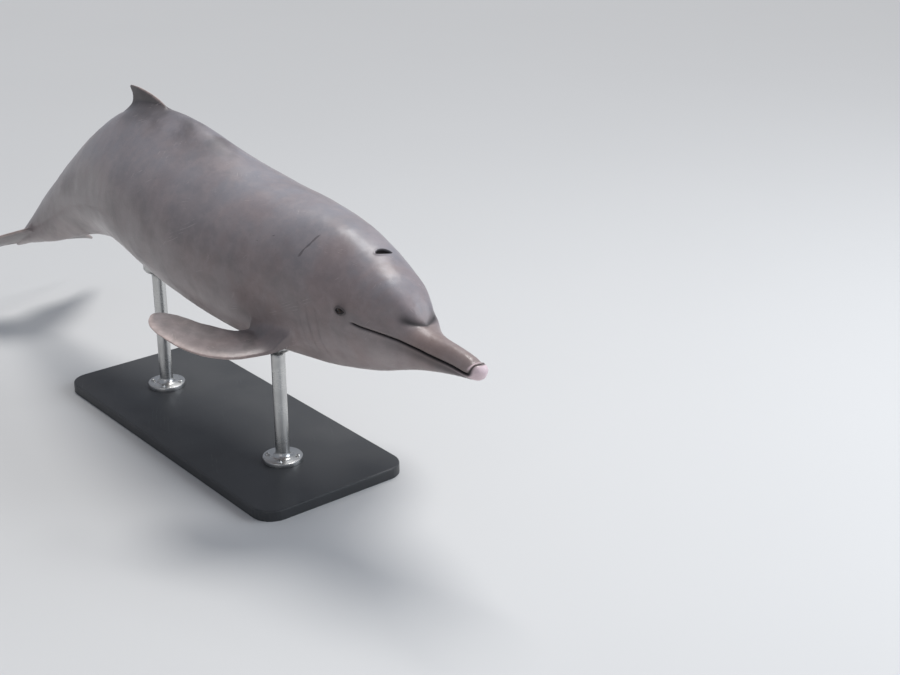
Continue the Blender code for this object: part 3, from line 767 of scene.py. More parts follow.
    def vents(self, s: Array, lift: Array, y: Array) -> tuple[Array, Array]:
        """Navel and slits on the line of the belly.

        Args:
            s: Stations.
            lift: Angles up the side, in degrees.
            y: Distances from the middle of the body.

        Returns:
            Height of the skin, and how dark its painted shade is.
        """
        open_ = sum(smooth(*slit[:2], s) * smooth(*slit[:1:-1], s) for slit in self.slits)
        open_ = open_ * (lift < -60)
        slit, beside = bell(y, 0, 0.0019), bell(abs(y), 0.0060, 0.0032)
        # The slits are sunk and darkened inside with painted shade.
        return open_ * (0.0012 * beside - 0.0038 * slit), 0.8 * slit * open_

    def relief(self, points: Array, normals: Array, s: Array, a: Array, lid: Array,
               hole: Array) -> tuple[Array, dict[str, Array]]:
        """Folds, lids, lips and soft unevenness of the body.

        Args:
            points: Places on the smooth straight body.
            normals: Outward directions there.
            s: Their stations.
            a: Their angles.
            lid: Their rings round an eye.
            hole: Their rings round the blowhole.

        Returns:
            Height of the skin over the smooth body, and masks for its colours, with the painted shade
            in the fold mask.
        """
        lift = np.degrees(np.arcsin(np.clip(np.sin(a), -1, 1)))
        mouth, line, pale = self.mouth(s, points[:, 2] - self.form.widest(s))
        features = ((mouth, line), self.melon(s, lift), self.throat(s, lift),
                    self.vents(s, lift, points[:, 1]))
        height, dark = map(sum, zip(*features))
        height += by_ring(hole, self.pocket) + self.lids(points, normals, lid)
        waves = 0.0011 * ripple(points, 5.5, 0.4) + 0.0004 * ripple(points, 17.0, 1.9)
        height += waves * smooth(0.10, 0.5, s) + 0.00022 * ripple(points, 45.0, 3.1)
        near_eye = np.minimum(*(np.linalg.norm(points - self.eye_centre(side), axis=1)
                                for side in (1, -1)))
        # Painted shade inside the blowhole and round the lids, and a dark ring round each eye: partly
        # the animal's darker eye patch, partly painted shade round the socket.
        dark += by_ring(hole, self.pocket_shade) + by_ring(lid, self.lid_shade)
        dark += 0.34 * bell(near_eye, self.eye_radius - 0.002, 0.008)
        return height, {"fold": np.clip(dark, 0, 1), "pale": pale, "tone": (np.sin(a) + 1) / 2}

    def lids(self, points: Array, normals: Array, lid: Array) -> Array:
        """Lids that lie on the eyeball and sink under it inside their rim.

        Args:
            points: Places on the smooth straight body.
            normals: Outward directions there.
            lid: Their rings round an eye.

        Returns:
            The height at each place.
        """
        last = 12
        clear = by_ring(lid, self.lid_clearance)
        height = np.zeros(len(points))
        for side in (1, -1):
            mine = (lid <= last) & (points[:, 1] * side > 0)
            away = points[mine] - self.eye_centre(side)
            out = (away * normals[mine]).sum(axis=1)
            rest = out**2 - (away**2).sum(axis=1) + (self.eye_radius + clear[mine]) ** 2
            meets = rest > 0
            reach = np.where(meets, np.sqrt(np.clip(rest, 0, None)) - out, -0.02)
            soft = 0.5 * (reach + np.sqrt(reach**2 + 0.0012**2)) * (1 - smooth(8, last, lid[mine]))
            height[mine] = np.where(lid[mine] < 4, np.clip(reach, -0.0035, None), soft)
        return height

    def rim_of(self, blade: Blade) -> tuple[list, int, int]:
        """Rim of a hole in the grid.

        Args:
            blade: The fin that grows from it.

        Returns:
            Row and column of each place on the rim, and the hole's count of rows and of columns.
        """
        stations, half, hole = self.stations(), np.radians(self.half_columns(False)), blade.hole
        first, last = (int(np.argmin(abs(stations - s))) for s in hole[:2])
        around = np.concatenate([half, np.pi - half[-2:0:-1]])
        low, high = (int(np.argmin(abs(around - math.radians(angle)))) for angle in hole[2:])
        rows, columns = range(first, last), range(low, high)
        rim = [(i, low) for i in rows] + [(last, j) for j in columns]
        rim += [(i + 1, high) for i in reversed(rows)] + [(first, j + 1) for j in reversed(columns)]
        return rim, len(rows), len(columns)

    def grow(self, sewing: Sewing, grid: Array, points: Array, tones: Array, blade: Blade,
             mirrored: bool) -> None:
        """Grow a blade out of its hole.

        Args:
            sewing: The skin so far.
            grid: Numbers of the points of the body.
            points: Places of the points of the body.
            tones: Tone of each point of the body.
            blade: The fin.
            mirrored: Whether it is the right one of a pair.
        """
        count = grid.shape[1]
        rim, along, across = self.rim_of(blade)
        first, last = rim[0][0], rim[0][0] + along
        low, high = rim[0][1], rim[0][1] + across
        flip = np.array((1, -1, 1)) if mirrored else np.array((1, 1, 1))

        def place(i: int, j: int) -> tuple[int, int]:
            """Place of a grid point on the side of the blade."""
            return (i, -j % count) if mirrored else (i, j)

        def beyond(i: int, j: int) -> tuple[int, int]:
            """The next place outside the rim."""
            return i - (i == first) + (i == last), j - (j == low) + (j == high)

        near = tuple(np.array([place(*k) for k in rim]).T)
        far = tuple(np.array([place(*beyond(*k)) for k in rim]).T)
        edge, outer = points[near] * flip, points[far] * flip
        rings, distance = blade.rings(self.form, along, across)
        way = rings[0] - edge
        start, end = edge - outer, rings[1] - rings[0]
        start /= np.linalg.norm(start, axis=1, keepdims=True)
        end /= np.linalg.norm(end, axis=1, keepdims=True)
        start = start * np.clip((start * way).sum(axis=1, keepdims=True), 0, None)
        end = end * np.clip((end * way).sum(axis=1, keepdims=True), 0, None)
        tone = tones[near]
        before = grid[near]
        total = self.blend_steps + len(rings)
        for step in range(1, total):
            if step < self.blend_steps:
                t = step / self.blend_steps
                ring = (edge * (1 + 2 * t) * (1 - t) ** 2 + start * t * (1 - t) ** 2
                        + rings[0] * t * t * (3 - 2 * t) + end * t * t * (t - 1))
                lead, span = distance[0], t * 0.3
            else:
                ring, lead = rings[step - self.blend_steps], distance[step - self.blend_steps]
                span = 0.3 + 0.7 * (step - self.blend_steps) / len(rings)
            grown = smooth(0.0, 0.3, np.array(span))
            edge_on = smooth(0.20, 0.42, np.array(span))
            ease = smooth(self.blend_steps + 4, self.blend_steps - 1, np.array(step))
            numbers = sewing.add(ring * flip, ease=ease, blade=grown,
                                 tone=tone * (1 - grown) + self.fin_tone * grown,
                                 lead=bell(lead, 0, 0.016) * edge_on)
            sewing.strip(before, numbers)
            before = numbers
        # The end of the blade: a patch between its two faces.
        tip = ring * flip
        size = len(tip)
        row = before[:along + 1]
        for j in range(1, across + 1):
            share = j / across
            if j < across:
                inside = np.array([tip[i] * (1 - share) + tip[(-across - i) % size] * share
                                   for i in range(1, along)])
                fresh = sewing.add(inside, tone=self.fin_tone, blade=1.0, lead=1.0)
                below = np.array([before[-j], *fresh, before[along + j]])
            else:
                below = np.array([before[(-across - i) % size] for i in range(along + 1)])
            sewing.strip(row, below, closed=False)
            row = below

    def ease(self, s: Array) -> Array:
        """How freely the points move when the skin is relaxed: at the tip and the fin roots.

        Args:
            s: Station of each grid point.

        Returns:
            0 where a point stays, up to 1 where it is free.
        """
        rows, count = s.shape
        free = smooth(0.050, 0.026, s)
        i, j = np.arange(rows)[:, None], np.arange(count)[None]
        for blade in (self.dorsal, self.flipper, self.fluke):
            rim, along, across = self.rim_of(blade)
            first, low = rim[0]
            for column in (j, (count - j) % count):
                apart = np.maximum(np.maximum(first - i, i - first - along),
                                   np.maximum(low - column, column - low - across))
                free = np.maximum(free, smooth(self.ease_rows, 0, apart))
        return free

    def relax(self, mesh: bpy.types.Mesh, ease: Array) -> None:
        """Even out the places that are free to move, without shrinking them.

        Args:
            mesh: The straight skin, changed in place.
            ease: How freely each of its points moves.
        """
        places, ends = read(mesh.vertices, "co", 3), read(mesh.edges, "vertices", 2, int)
        ends = ends[(ease[ends] > 0).any(axis=1)]
        start, end = np.concatenate([ends, ends[:, ::-1]]).T
        count = np.maximum(np.bincount(start, minlength=len(places)), 1)
        for turn in range(2 * self.ease_passes):
            mean = np.stack([np.bincount(start, places[end, k], len(places)) for k in range(3)], 1)
            push = self.ease_push[turn % 2] * ease
            places += push[:, None] * (mean / count[:, None] - places)
        mesh.vertices.foreach_set("co", places.ravel())

    def sewn(self) -> tuple[bpy.types.Mesh, Array, dict[str, Array], tuple[Array, ...]]:
        """The closed straight skin before its relief.

        Returns:
            The mesh, where each of its points lay before it was relaxed, its masks, and the station,
            angle and rings of its body points.
        """
        s, a, lid, hole = self.grid()
        points = self.form.surface(s, a)
        tones, free = (np.sin(a) + 1) / 2, self.ease(s)
        sewing = Sewing()
        grid = sewing.add(points, ease=free, tone=tones)
        # The two sides close on each other along the middle of the chin and the upper jaw.
        top = s.shape[1] // 2
        closing = sewing.add(points[0, 1:top] * (1, 0, 1), ease=1.0, tone=tones[0, 1:top])
        seam = np.concatenate([grid[0, :1], closing, grid[0, top:top + 1]])
        for side in (grid[0, :top + 1], np.concatenate([grid[0, :1], grid[0, :top - 1:-1]])):
            for k in range(top):
                face = (seam[k], seam[k + 1], side[k + 1], side[k])
                sewing.faces.append(tuple(dict.fromkeys(face)))
        rows, count = grid.shape
        open_ = np.zeros((rows, count), bool)
        for blade in (self.dorsal, self.flipper, self.fluke):
            rim, along, across = self.rim_of(blade)
            first, low = rim[0]
            open_[first:first + along, low:low + across] = True
            open_[first:first + along, count - low - across:count - low] = True
        for i in range(rows - 1):
            for j in range(count):
                if not open_[i, j]:
                    n = (j + 1) % count
                    sewing.faces.append((grid[i, j], grid[i, n], grid[i + 1, n], grid[i + 1, j]))
        end = sewing.add(np.array([(-self.notch, 0.0, 0.0)]), tone=0.5)[0]
        sewing.faces += [(grid[-1, j], grid[-1, (j + 1) % count], end) for j in range(count)]
        self.grow(sewing, grid, points, tones, self.dorsal, False)
        for mirrored in (False, True):
            self.grow(sewing, grid, points, tones, self.flipper, mirrored)
            self.grow(sewing, grid, points, tones, self.fluke, mirrored)
        lie = np.concatenate(sewing.points)
        mesh = bpy.data.meshes.new("skin")
        mesh.from_pydata(lie.tolist(), [], [tuple(map(int, face)) for face in sewing.faces])
        shell = bmesh.new()
        shell.from_mesh(mesh)
        bmesh.ops.recalc_face_normals(shell, faces=shell.faces)
        shell.to_mesh(mesh)
        shell.free()
        masks = {name: np.concatenate(values).astype(float) for name, values in sewing.masks.items()}
        self.relax(mesh, masks.pop("ease"))
        body = tuple(np.concatenate([table.ravel(), table[0, 1:top]]) for table in (s, a, lid, hole))
        return mesh, lie, masks, body

    def build(self, shift: Array) -> bpy.types.Object:
        """Make the skin in its place.

        Args:
            shift: From the start of the bent spine to its place over the stand.

        Returns:
            The finished skin.
        """
        mesh, lie, masks, body = self.sewn()
        straight, normals = read(mesh.vertices, "co", 3), read(mesh.vertex_normals, "vector", 3)
        size = len(body[0])
        height = np.zeros(len(straight))
        height[:size], found = self.relief(lie[:size], normals[:size], *body)
        for name, values in found.items():
            masks[name][:size] = values
        height[size:] = 0.00025 * ripple(straight[size:], 30.0, 2.2)
        raised = straight + normals * height[:, None]
        mesh.vertices.foreach_set("co", (self.spine.bend(raised) + shift).ravel())
        for name, values in masks.items():
            mesh.attributes.new(name, "FLOAT", "POINT").data.foreach_set("value", values)
        mesh.attributes.new("lie", "FLOAT_VECTOR", "POINT").data.foreach_set("vector", lie.ravel())
        mesh.shade_smooth()
        mesh.update()
        skin = bpy.data.objects.new("dolphin_skin", mesh)
        bpy.context.scene.collection.objects.link(skin)
        return skin


# --------------------------------------------------------------------------- workbench


class Bench:
    """Modelling by hand: primitives, edit mode and modifiers."""

    @staticmethod
    def clear() -> None:
        """Leave nothing selected."""
        for obj in bpy.context.view_layer.objects:
            obj.select_set(False)

    @classmethod
    def take(cls, obj: bpy.types.Object) -> bpy.types.Object:
        """Make one object the active and only selected one.

        Args:
            obj: The object.

        Returns:
            The same object.
        """
        cls.clear()
        obj.select_set(True)
        bpy.context.view_layer.objects.active = obj
        return obj

    @classmethod
    @contextmanager
    def editing(cls, obj: bpy.types.Object) -> Iterator[None]:
        """Edit mode on an object, with nothing selected in it.

        Args:
            obj: The object.

        Returns:
            The context of the edit.
        """
        cls.take(obj)
        bpy.ops.object.mode_set(mode="EDIT")
        bpy.ops.mesh.select_all(action="DESELECT")
        yield
        bpy.ops.object.mode_set(mode="OBJECT")

    @staticmethod
    def pick(obj: bpy.types.Object, wanted: Callable[[bmesh.types.BMVert], bool]) -> None:
        """Select the vertices that are wanted.

        Args:
            obj: An object in edit mode.
            wanted: Says of a vertex whether it is selected.
        """
        bpy.ops.mesh.select_mode(type="VERT")
        mesh = bmesh.from_edit_mesh(obj.data)
        for vertex in mesh.verts:
            vertex.select_set(wanted(vertex))
        mesh.select_flush_mode()
        bmesh.update_edit_mesh(obj.data)

    @classmethod
    def settle(cls, obj: bpy.types.Object, name: str) -> bpy.types.Object:
        """Name an object and put its place, turn and size into its mesh.

        Args:
            obj: The object.
            name: Its name.

        Returns:
            The same object.
        """
        cls.take(obj)
        bpy.ops.object.transform_apply(location=True, rotation=True, scale=True)
        obj.name = obj.data.name = name
        return obj

    @classmethod
    def apply(cls, obj: bpy.types.Object, kind: str, **settings: object) -> None:
        """Add a modifier and apply it.

        Args:
            obj: The object.
            kind: Type of the modifier.
            settings: Its properties.
        """
        cls.take(obj)
        modifier = obj.modifiers.new(kind.lower(), kind)
        for key, value in settings.items():
            setattr(modifier, key, value)
        bpy.ops.object.modifier_apply(modifier=modifier.name)

    @classmethod
    def turned(cls, name: str, profile: list[tuple[float, float]], at: tuple[float, float],
               steps: int) -> bpy.types.Object:
        """Turn a profile round an upright axis.

        Args:
            name: Name of the piece.
            profile: Radius and height of each corner, top to bottom, starting and ending on the axis.
            at: Place of the axis.
            steps: Faces round it.

        Returns:
            The closed piece.
        """
        cls.clear()
        bpy.ops.mesh.primitive_plane_add(size=0.01, location=(*at, 0.0))
        obj = cls.settle(bpy.context.active_object, name)
        with cls.editing(obj):
            bpy.ops.mesh.select_all(action="SELECT")
            bpy.ops.mesh.merge(type="CENTER")
            radius, height = profile[0]
            bpy.ops.transform.translate(value=(radius, 0, height))
            for (r0, z0), (r1, z1) in zip(profile, profile[1:]):
                bpy.ops.mesh.extrude_region_move(
                    TRANSFORM_OT_translate={"value": (r1 - r0, 0, z1 - z0)})
            bpy.ops.mesh.select_all(action="SELECT")
            bpy.ops.mesh.spin(steps=steps, angle=math.tau, center=(*at, 0), axis=(0, 0, 1))
            bpy.ops.mesh.select_all(action="SELECT")
            bpy.ops.mesh.remove_doubles(threshold=0.00004)
            bpy.ops.mesh.normals_make_consistent(inside=False)
        return obj

    @classmethod
    def soften(cls, obj: bpy.types.Object, angle: float = 35.0) -> None:
        """Smooth shading up to an angle in degrees."""
        cls.take(obj)
        bpy.ops.object.shade_smooth_by_angle(angle=math.radians(angle))


# --------------------------------------------------------------------------- shader nodes


class Sheet:
    """Places nodes in a material, a group or the sky and joins them."""

    def __init__(self, tree: bpy.types.NodeTree) -> None:
        """Start on a tree."""
        self.tree = tree

    def fill(self, node: bpy.types.Node, inputs: dict[str | int, Value]) -> None:
        """Give inputs of a node their values or the sockets that feed them.

        Args:
            node: The node.
            inputs: Values or sockets for its inputs, by name or number.
        """
        for key, value in inputs.items():
            if isinstance(value, Socket):
                self.tree.links.new(value, node.inputs[key])
            else:
                node.inputs[key].default_value = value

    def put(self, kind: str, inputs: dict | None = None, **settings: object) -> bpy.types.Node:
        """Add a node.

        Args:
            kind: Type of the node, without its prefix.
            inputs: Values or sockets for its inputs, by name or number.
            settings: Properties of the node.

        Returns:
            The node.
        """
        node = self.tree.nodes.new(kind if kind.startswith("NodeGroup") else "ShaderNode" + kind)
        for key, value in settings.items():
            setattr(node, key, value)
        self.fill(node, inputs or {})
        return node

    def math(self, operation: str, *values: Value, clamp: bool = False) -> Socket:
        """Result of a Math node."""
        node = self.put("Math", dict(enumerate(values)), operation=operation, use_clamp=clamp)
        return node.outputs[0]

    def times(self, first: Value, second: Value, clamp: bool = False) -> Socket:
        """One value times another."""
        return self.math("MULTIPLY", first, second, clamp=clamp)

    def sloped(self, value: Value, slope: float, start: Value, clamp: bool = False) -> Socket:
        """A value times a slope, added to a start."""
        return self.math("MULTIPLY_ADD", value, slope, start, clamp=clamp)

    def most(self, values: list[Socket]) -> Socket:
        """The highest of some values."""
        return reduce(lambda first, second: self.math("MAXIMUM", first, second), values)

    def vector(self, operation: str, *values: Value, **scale: Value) -> Socket:
        """Result of a Vector Math node."""
        node = self.put("VectorMath", dict(enumerate(values)) | scale, operation=operation)
        is_number = operation in ("DOT_PRODUCT", "DISTANCE", "LENGTH")
        return node.outputs["Value" if is_number else "Vector"]

    def mix(self, share: Value, first: Value, second: Value) -> Socket:
        """The second colour laid over the first by a share."""
        inputs = {0: share, 6: first, 7: second}
        inputs = {key: (*v, 1.0) if isinstance(v, tuple) else v for key, v in inputs.items()}
        return self.put("Mix", inputs, data_type="RGBA").outputs[2]

    def ramp(self, value: Value, low: Value, high: Value, first: float = 0.0,
             last: float = 1.0) -> Socket:
        """Soft change from first to last while the value goes from low to high."""
        inputs = {"Value": value, "From Min": low, "From Max": high, "To Min": first, "To Max": last}
        return self.put("MapRange", inputs, interpolation_type="SMOOTHSTEP").outputs[0]

    def noise(self, vector: Value, scale: float, detail: float = 3.0, rough: float = 0.5) -> Socket:
        """Cloudy value about a half."""
        inputs = {"Vector": vector, "Scale": scale, "Detail": detail, "Roughness": rough}
        return self.put("TexNoise", inputs).outputs[0]

    def mapped(self, vector: Value, scale: tuple = (1.0, 1.0, 1.0), turn: tuple = (0.0, 0.0, 0.0),
               shift: tuple = (0.0, 0.0, 0.0)) -> Socket:
        """Vector moved, turned and stretched."""
        inputs = {"Vector": vector, "Scale": scale, "Rotation": turn, "Location": shift}
        return self.put("Mapping", inputs).outputs[0]

    def attribute(self, name: str, output: str = "Fac") -> Socket:
        """A mask, or a vector, that the mesh carries."""
        return self.put("Attribute", attribute_name=name).outputs[output]

    def place(self) -> Socket:
        """The place on the piece."""
        return self.put("TexCoord").outputs["Object"]

    def shade(self, inputs: dict[str, Value], height: Socket | None = None,
              depth: float = 0.0) -> None:
        """Set up the shader of a material.

        Args:
            inputs: Values or sockets for its inputs, by name.
            height: Fine relief of the surface.
            depth: Depth of that relief for a height of 1.
        """
        if height:
            bump = self.put("Bump", {"Height": height, "Distance": depth, "Strength": 1.0})
            inputs = inputs | {"Normal": bump.outputs[0]}
        self.fill(self.tree.nodes["Principled BSDF"], inputs)


class Paint:
    """A colour that is laid on coat over coat."""

    def __init__(self, sheet: Sheet, first: Colour) -> None:
        """Start with the first coat."""
        self.sheet, self.colour = sheet, first

    def lay(self, share: Value, tint: Colour, amount: Value | None = None) -> None:
        """Lay on a tint by a share, which is multiplied by the amount if there is one."""
        share = share if amount is None else self.sheet.times(share, amount)
        self.colour = self.sheet.mix(share, self.colour, tint)


# --------------------------------------------------------------------------- shared effects


def effect(name: str, **inputs: str) -> Callable:
    """Make a node group, built once, of a function that draws its nodes.

    Args:
        name: Name of the group.
        inputs: Socket type of each of its inputs, by name.

    Returns:
        A decorator. The function that it gives places the group on a sheet with its own values, in
        the order of the inputs, and gives its mask.
    """

    def decorate(draw: Callable) -> Callable:
        """Turn the drawing into a function that places the group."""

        @cache
        def tree() -> bpy.types.NodeTree:
            """The group itself."""
            group = bpy.data.node_groups.new(name, "ShaderNodeTree")
            for key, kind in inputs.items():
                group.interface.new_socket(name=key, in_out="INPUT", socket_type="NodeSocket" + kind)
            group.interface.new_socket(name="Mask", in_out="OUTPUT", socket_type="NodeSocketFloat")
            sheet = Sheet(group)
            sheet.put("NodeGroupOutput", {0: draw(sheet, sheet.put("NodeGroupInput").outputs)})
            return group

        def placed(sheet: Sheet, *values: Value) -> Socket:
            """Mask of the group, placed on a sheet with these values."""
            return sheet.put("Group", dict(enumerate(values)), node_tree=tree()).outputs[0]

        return placed

    return decorate


@effect("Blotches", Vector="Vector", Scale="Float", Low="Float", High="Float")
def blotches(sheet: Sheet, given: dict[str, Socket]) -> Socket:
    """Cloudy patches with soft borders.

    Args:
        sheet: The sheet of the group.
        given: Its inputs.

    Returns:
        The mask.
    """
    cloud = sheet.put("TexNoise", {"Vector": given["Vector"], "Scale": given["Scale"], "Detail": 4.0,
                                   "Roughness": 0.55, "Distortion": 0.4})
    return sheet.ramp(cloud.outputs[0], given["Low"], given["High"])


@effect("Streaks", Vector="Vector", Spacing="Float", Amount="Float")
def streaks(sheet: Sheet, given: dict[str, Socket]) -> Socket:
    """Sparse sets of thin parallel lines along the x axis of the given vector.

    Args:
        sheet: The sheet of the group.
        given: Its inputs.

    Returns:
        The mask.
    """
    vector = given["Vector"]
    waver = sheet.times(sheet.noise(vector, 7.0, 2.0), 0.020)
    height = sheet.put("SeparateXYZ", {0: vector}).outputs["Y"]
    across = sheet.math("DIVIDE", sheet.math("ADD", height, waver), given["Spacing"])
    side = sheet.math("ABSOLUTE", sheet.math("SUBTRACT", sheet.math("FRACT", across), 0.5))
    line = sheet.ramp(side, 0.02, 0.18, 1.0, 0.0)
    chance = sheet.noise(sheet.mapped(vector, (6.0, 24.0, 24.0)), 1.0, 1.0)
    patch = sheet.ramp(sheet.math("ADD", chance, given["Amount"]), 0.72, 0.80)
    broken = sheet.ramp(sheet.noise(sheet.mapped(vector, (30.0, 160.0, 160.0)), 1.0, 2.0), 0.42, 0.56)
    return sheet.times(sheet.times(line, patch), broken)


@effect("Scar", Vector="Vector", Start="Vector", End="Vector", Width="Float")
def scar(sheet: Sheet, given: dict[str, Socket]) -> Socket:
    """One wavering line between two places.

    Args:
        sheet: The sheet of the group.
        given: Its inputs.

    Returns:
        The mask.
    """
    vector, start = given["Vector"], given["Start"]
    waver = sheet.put("TexNoise", {"Vector": vector, "Scale": 22.0, "Detail": 1.0}).outputs[1]
    waver = sheet.vector("SCALE", sheet.vector("SUBTRACT", waver, (0.5, 0.5, 0.5)), Scale=0.016)
    away = sheet.vector("SUBTRACT", sheet.vector("ADD", vector, waver), start)
    along = sheet.vector("SUBTRACT", given["End"], start)
    share = sheet.math("DIVIDE", sheet.vector("DOT_PRODUCT", away, along),
                       sheet.vector("DOT_PRODUCT", along, along), clamp=True)
    gap = sheet.vector("DISTANCE", away, sheet.vector("SCALE", along, Scale=share))
    near = sheet.math("DIVIDE", gap, given["Width"])
    return sheet.ramp(sheet.math("ADD", near, sheet.noise(vector, 70.0, 2.0)), 0.85, 1.60, 1.0, 0.0)


@effect("EdgeWear", Vector="Vector", Radius="Float", Amount="Float")
def edge_wear(sheet: Sheet, given: dict[str, Socket]) -> Socket:
    """Edges that have been rubbed.

    Args:
        sheet: The sheet of the group.
        given: Its inputs.

    Returns:
        The mask.
    """
    bevel = sheet.put("Bevel", {"Radius": given["Radius"]}, samples=6).outputs[0]
    turned = sheet.vector("DOT_PRODUCT", bevel, sheet.put("NewGeometry").outputs["Normal"])
    patch = sheet.ramp(sheet.noise(given["Vector"], 60.0, 5.0, 0.7), 0.42, 0.62)
    broken = sheet.times(sheet.ramp(turned, 0.995, 0.90), patch)
    return sheet.times(broken, given["Amount"], clamp=True)


# --------------------------------------------------------------------------- finishes


@dataclass(frozen=True)
class Finish:
    """A material of one of the model's surfaces."""

    name: str

    def make(self) -> bpy.types.Material:
        """Build the material.

        Returns:
            The material.
        """
        material = bpy.data.materials.new(self.name)
        material.use_nodes = True
        self.dress(Sheet(material.node_tree))
        return material

    def dress(self, sheet: Sheet) -> None:
        """Add the nodes of this finish.

        Args:
            sheet: The sheet of the material.
        """
        raise NotImplementedError


@dataclass(frozen=True)
class WetSkin(Finish):
    """Smooth wet hide: paler below, with painted sky light on the back, painted shade on the crest
    and in the folds, scars, a warm beak and pale fin edges.

    Rows of the rakes: turn of the marks, distance between them, how many there are. Rows of the
    scars: start and end on the straight animal, width.
    """

    # The back is lighter and cooler than the flank: painted sky light on top and painted shade on the
    # side.
    back: Colour = (0.262, 0.255, 0.282)
    flank: Colour = (0.232, 0.200, 0.198)
    belly: Colour = (0.44, 0.38, 0.37)
    beak: Colour = (0.255, 0.196, 0.180)
    fin: Colour = (0.140, 0.124, 0.123)
    cloud: Colour = (0.160, 0.136, 0.134)
    patch: Colour = (0.34, 0.285, 0.285)
    flush: Colour = (0.265, 0.185, 0.172)
    spot: Colour = (0.37, 0.31, 0.31)
    fleck: Colour = (0.09, 0.08, 0.08)
    # Near-black painted shade laid on the crest and the fin of the back.
    painted_crest_shade: Colour = (0.062, 0.053, 0.055)
    scratch: Colour = (0.48, 0.42, 0.41)
    rubbed: Colour = (0.50, 0.39, 0.36)
    blush: Colour = (0.74, 0.585, 0.61)
    # Near-black painted shade for the folds, the mouth, the blowhole and the slits, and round the
    # eyes, where it is partly the darker eye patch.
    fold: Colour = (0.022, 0.018, 0.019)
    scarred: Colour = (0.060, 0.050, 0.052)
    rakes: tuple[tuple[Triple, float, float], ...] = (
        ((0.9, 0.4, 0.3), 0.0060, 0.06), ((-0.7, 0.9, -0.5), 0.0075, 0.05),
        ((1.4, -0.5, 1.1), 0.0050, 0.04))
    scars: tuple[tuple[Triple, Triple, float], ...] = (
        ((-0.556, -0.130, 0.100), (-0.530, -0.068, 0.174), 0.0034),
        ((-0.600, -0.146, 0.085), (-0.560, -0.128, 0.100), 0.0012),
        ((-0.700, -0.150, 0.100), (-0.640, -0.120, 0.135), 0.0012))

    def dress(self, sheet: Sheet) -> None:
        """Add the nodes of this finish.

        Args:
            sheet: The sheet of the material.
        """
        lie = sheet.attribute("lie", "Vector")
        place = sheet.put("SeparateXYZ", {0: lie}).outputs
        fold, pale, blade = map(sheet.attribute, ("fold", "pale", "blade"))
        clouds = blotches(sheet, lie, 5.0, 0.35, 0.68)
        spots = blotches(sheet, lie, 34.0, 0.40, 0.70)
        # Countershade with a cloudy border: a paler belly, and a back lighter and cooler than the
        # flank, which is painted sky light on top and painted shade on the side.
        uneven = sheet.sloped(clouds, 0.16, -0.08)
        tone = sheet.math("ADD", sheet.attribute("tone"), uneven)
        paint = Paint(sheet, self.belly)
        paint.lay(sheet.ramp(tone, 0.04, 0.34), self.flank)
        paint.lay(sheet.ramp(tone, 0.55, 0.98), self.back)
        paint.lay(sheet.ramp(place["X"], -0.245, -0.195), self.beak, sheet.ramp(tone, 0.2, 0.5))
        paint.lay(blade, self.fin)
        # Clouds, patches, a flush toward the head, spots and flecks.
        patches = blotches(sheet, sheet.mapped(lie, (0.7, 1.2, 1.2)), 13.0, 0.38, 0.64)
        flush = blotches(sheet, sheet.mapped(lie, shift=(3, 1, 2)), 8.0, 0.42, 0.66)
        paint.lay(clouds, self.cloud, 0.45)
        paint.lay(patches, self.patch, 0.30)
        paint.lay(flush, self.flush, sheet.ramp(place["X"], -1.3, -0.25, 0.12, 0.42))
        paint.lay(spots, self.spot, 0.22)
        paint.lay(blotches(sheet, lie, 170.0, 0.55, 0.72), self.fleck, 0.11)
        # Painted shade: the fin of the back and the crest that it stands on are darker than the rest.
        crest_shade_height = sheet.sloped(uneven, 0.25, place["Z"])
        paint.lay(sheet.ramp(crest_shade_height, 0.205, 0.265, 0.0, 0.72), self.painted_crest_shade)
        # Old tooth marks, rubbed edges of the fins, the blush of the jaw, painted shade in the folds
        # and openings, and scars.
        rake = sheet.most([streaks(sheet, sheet.mapped(lie, turn=turn), spacing, amount)
                           for turn, spacing, amount in self.rakes])
        paint.lay(rake, self.scratch, 0.32)
        patchy = sheet.sloped(spots, 0.5, 0.6, clamp=True)
        paint.lay(sheet.times(sheet.attribute("lead"), patchy, clamp=True), self.rubbed)
        mottled = sheet.sloped(spots, -0.16, sheet.math("ADD", pale, uneven))
        paint.lay(sheet.ramp(mottled, 0.05, 0.75), self.blush)
        # Painted shade from the fold mask.
        paint.lay(fold, self.fold)
        deep = sheet.most([scar(sheet, lie, *row) for row in self.scars])
        paint.lay(deep, self.scarred, 0.55)
        # Uneven gloss, a broken film of water and the grain of the hide.
        rough = sheet.sloped(spots, 0.07, sheet.sloped(clouds, 0.10, 0.36))
        wet = blotches(sheet, lie, 9.0, 0.30, 0.66)
        height = sheet.sloped(sheet.noise(sheet.mapped(lie, (520.0, 90.0, 90.0)), 1.0, 2.0), 0.10,
                              sheet.times(sheet.noise(lie, 620.0, 3.0), 0.10))
        for marks, share in ((sheet.noise(lie, 90.0, 4.0), 0.35), (rake, -0.25), (deep, -1.0)):
            height = sheet.sloped(marks, share, height)
        sheet.shade({"Base Color": paint.colour, "Roughness": sheet.sloped(fold, 0.15, rough),
                     "Coat Weight": sheet.sloped(wet, 0.26, 0.14), "Coat Roughness": 0.20,
                     "Coat IOR": 1.38, "IOR": 1.42}, height, 0.0009)


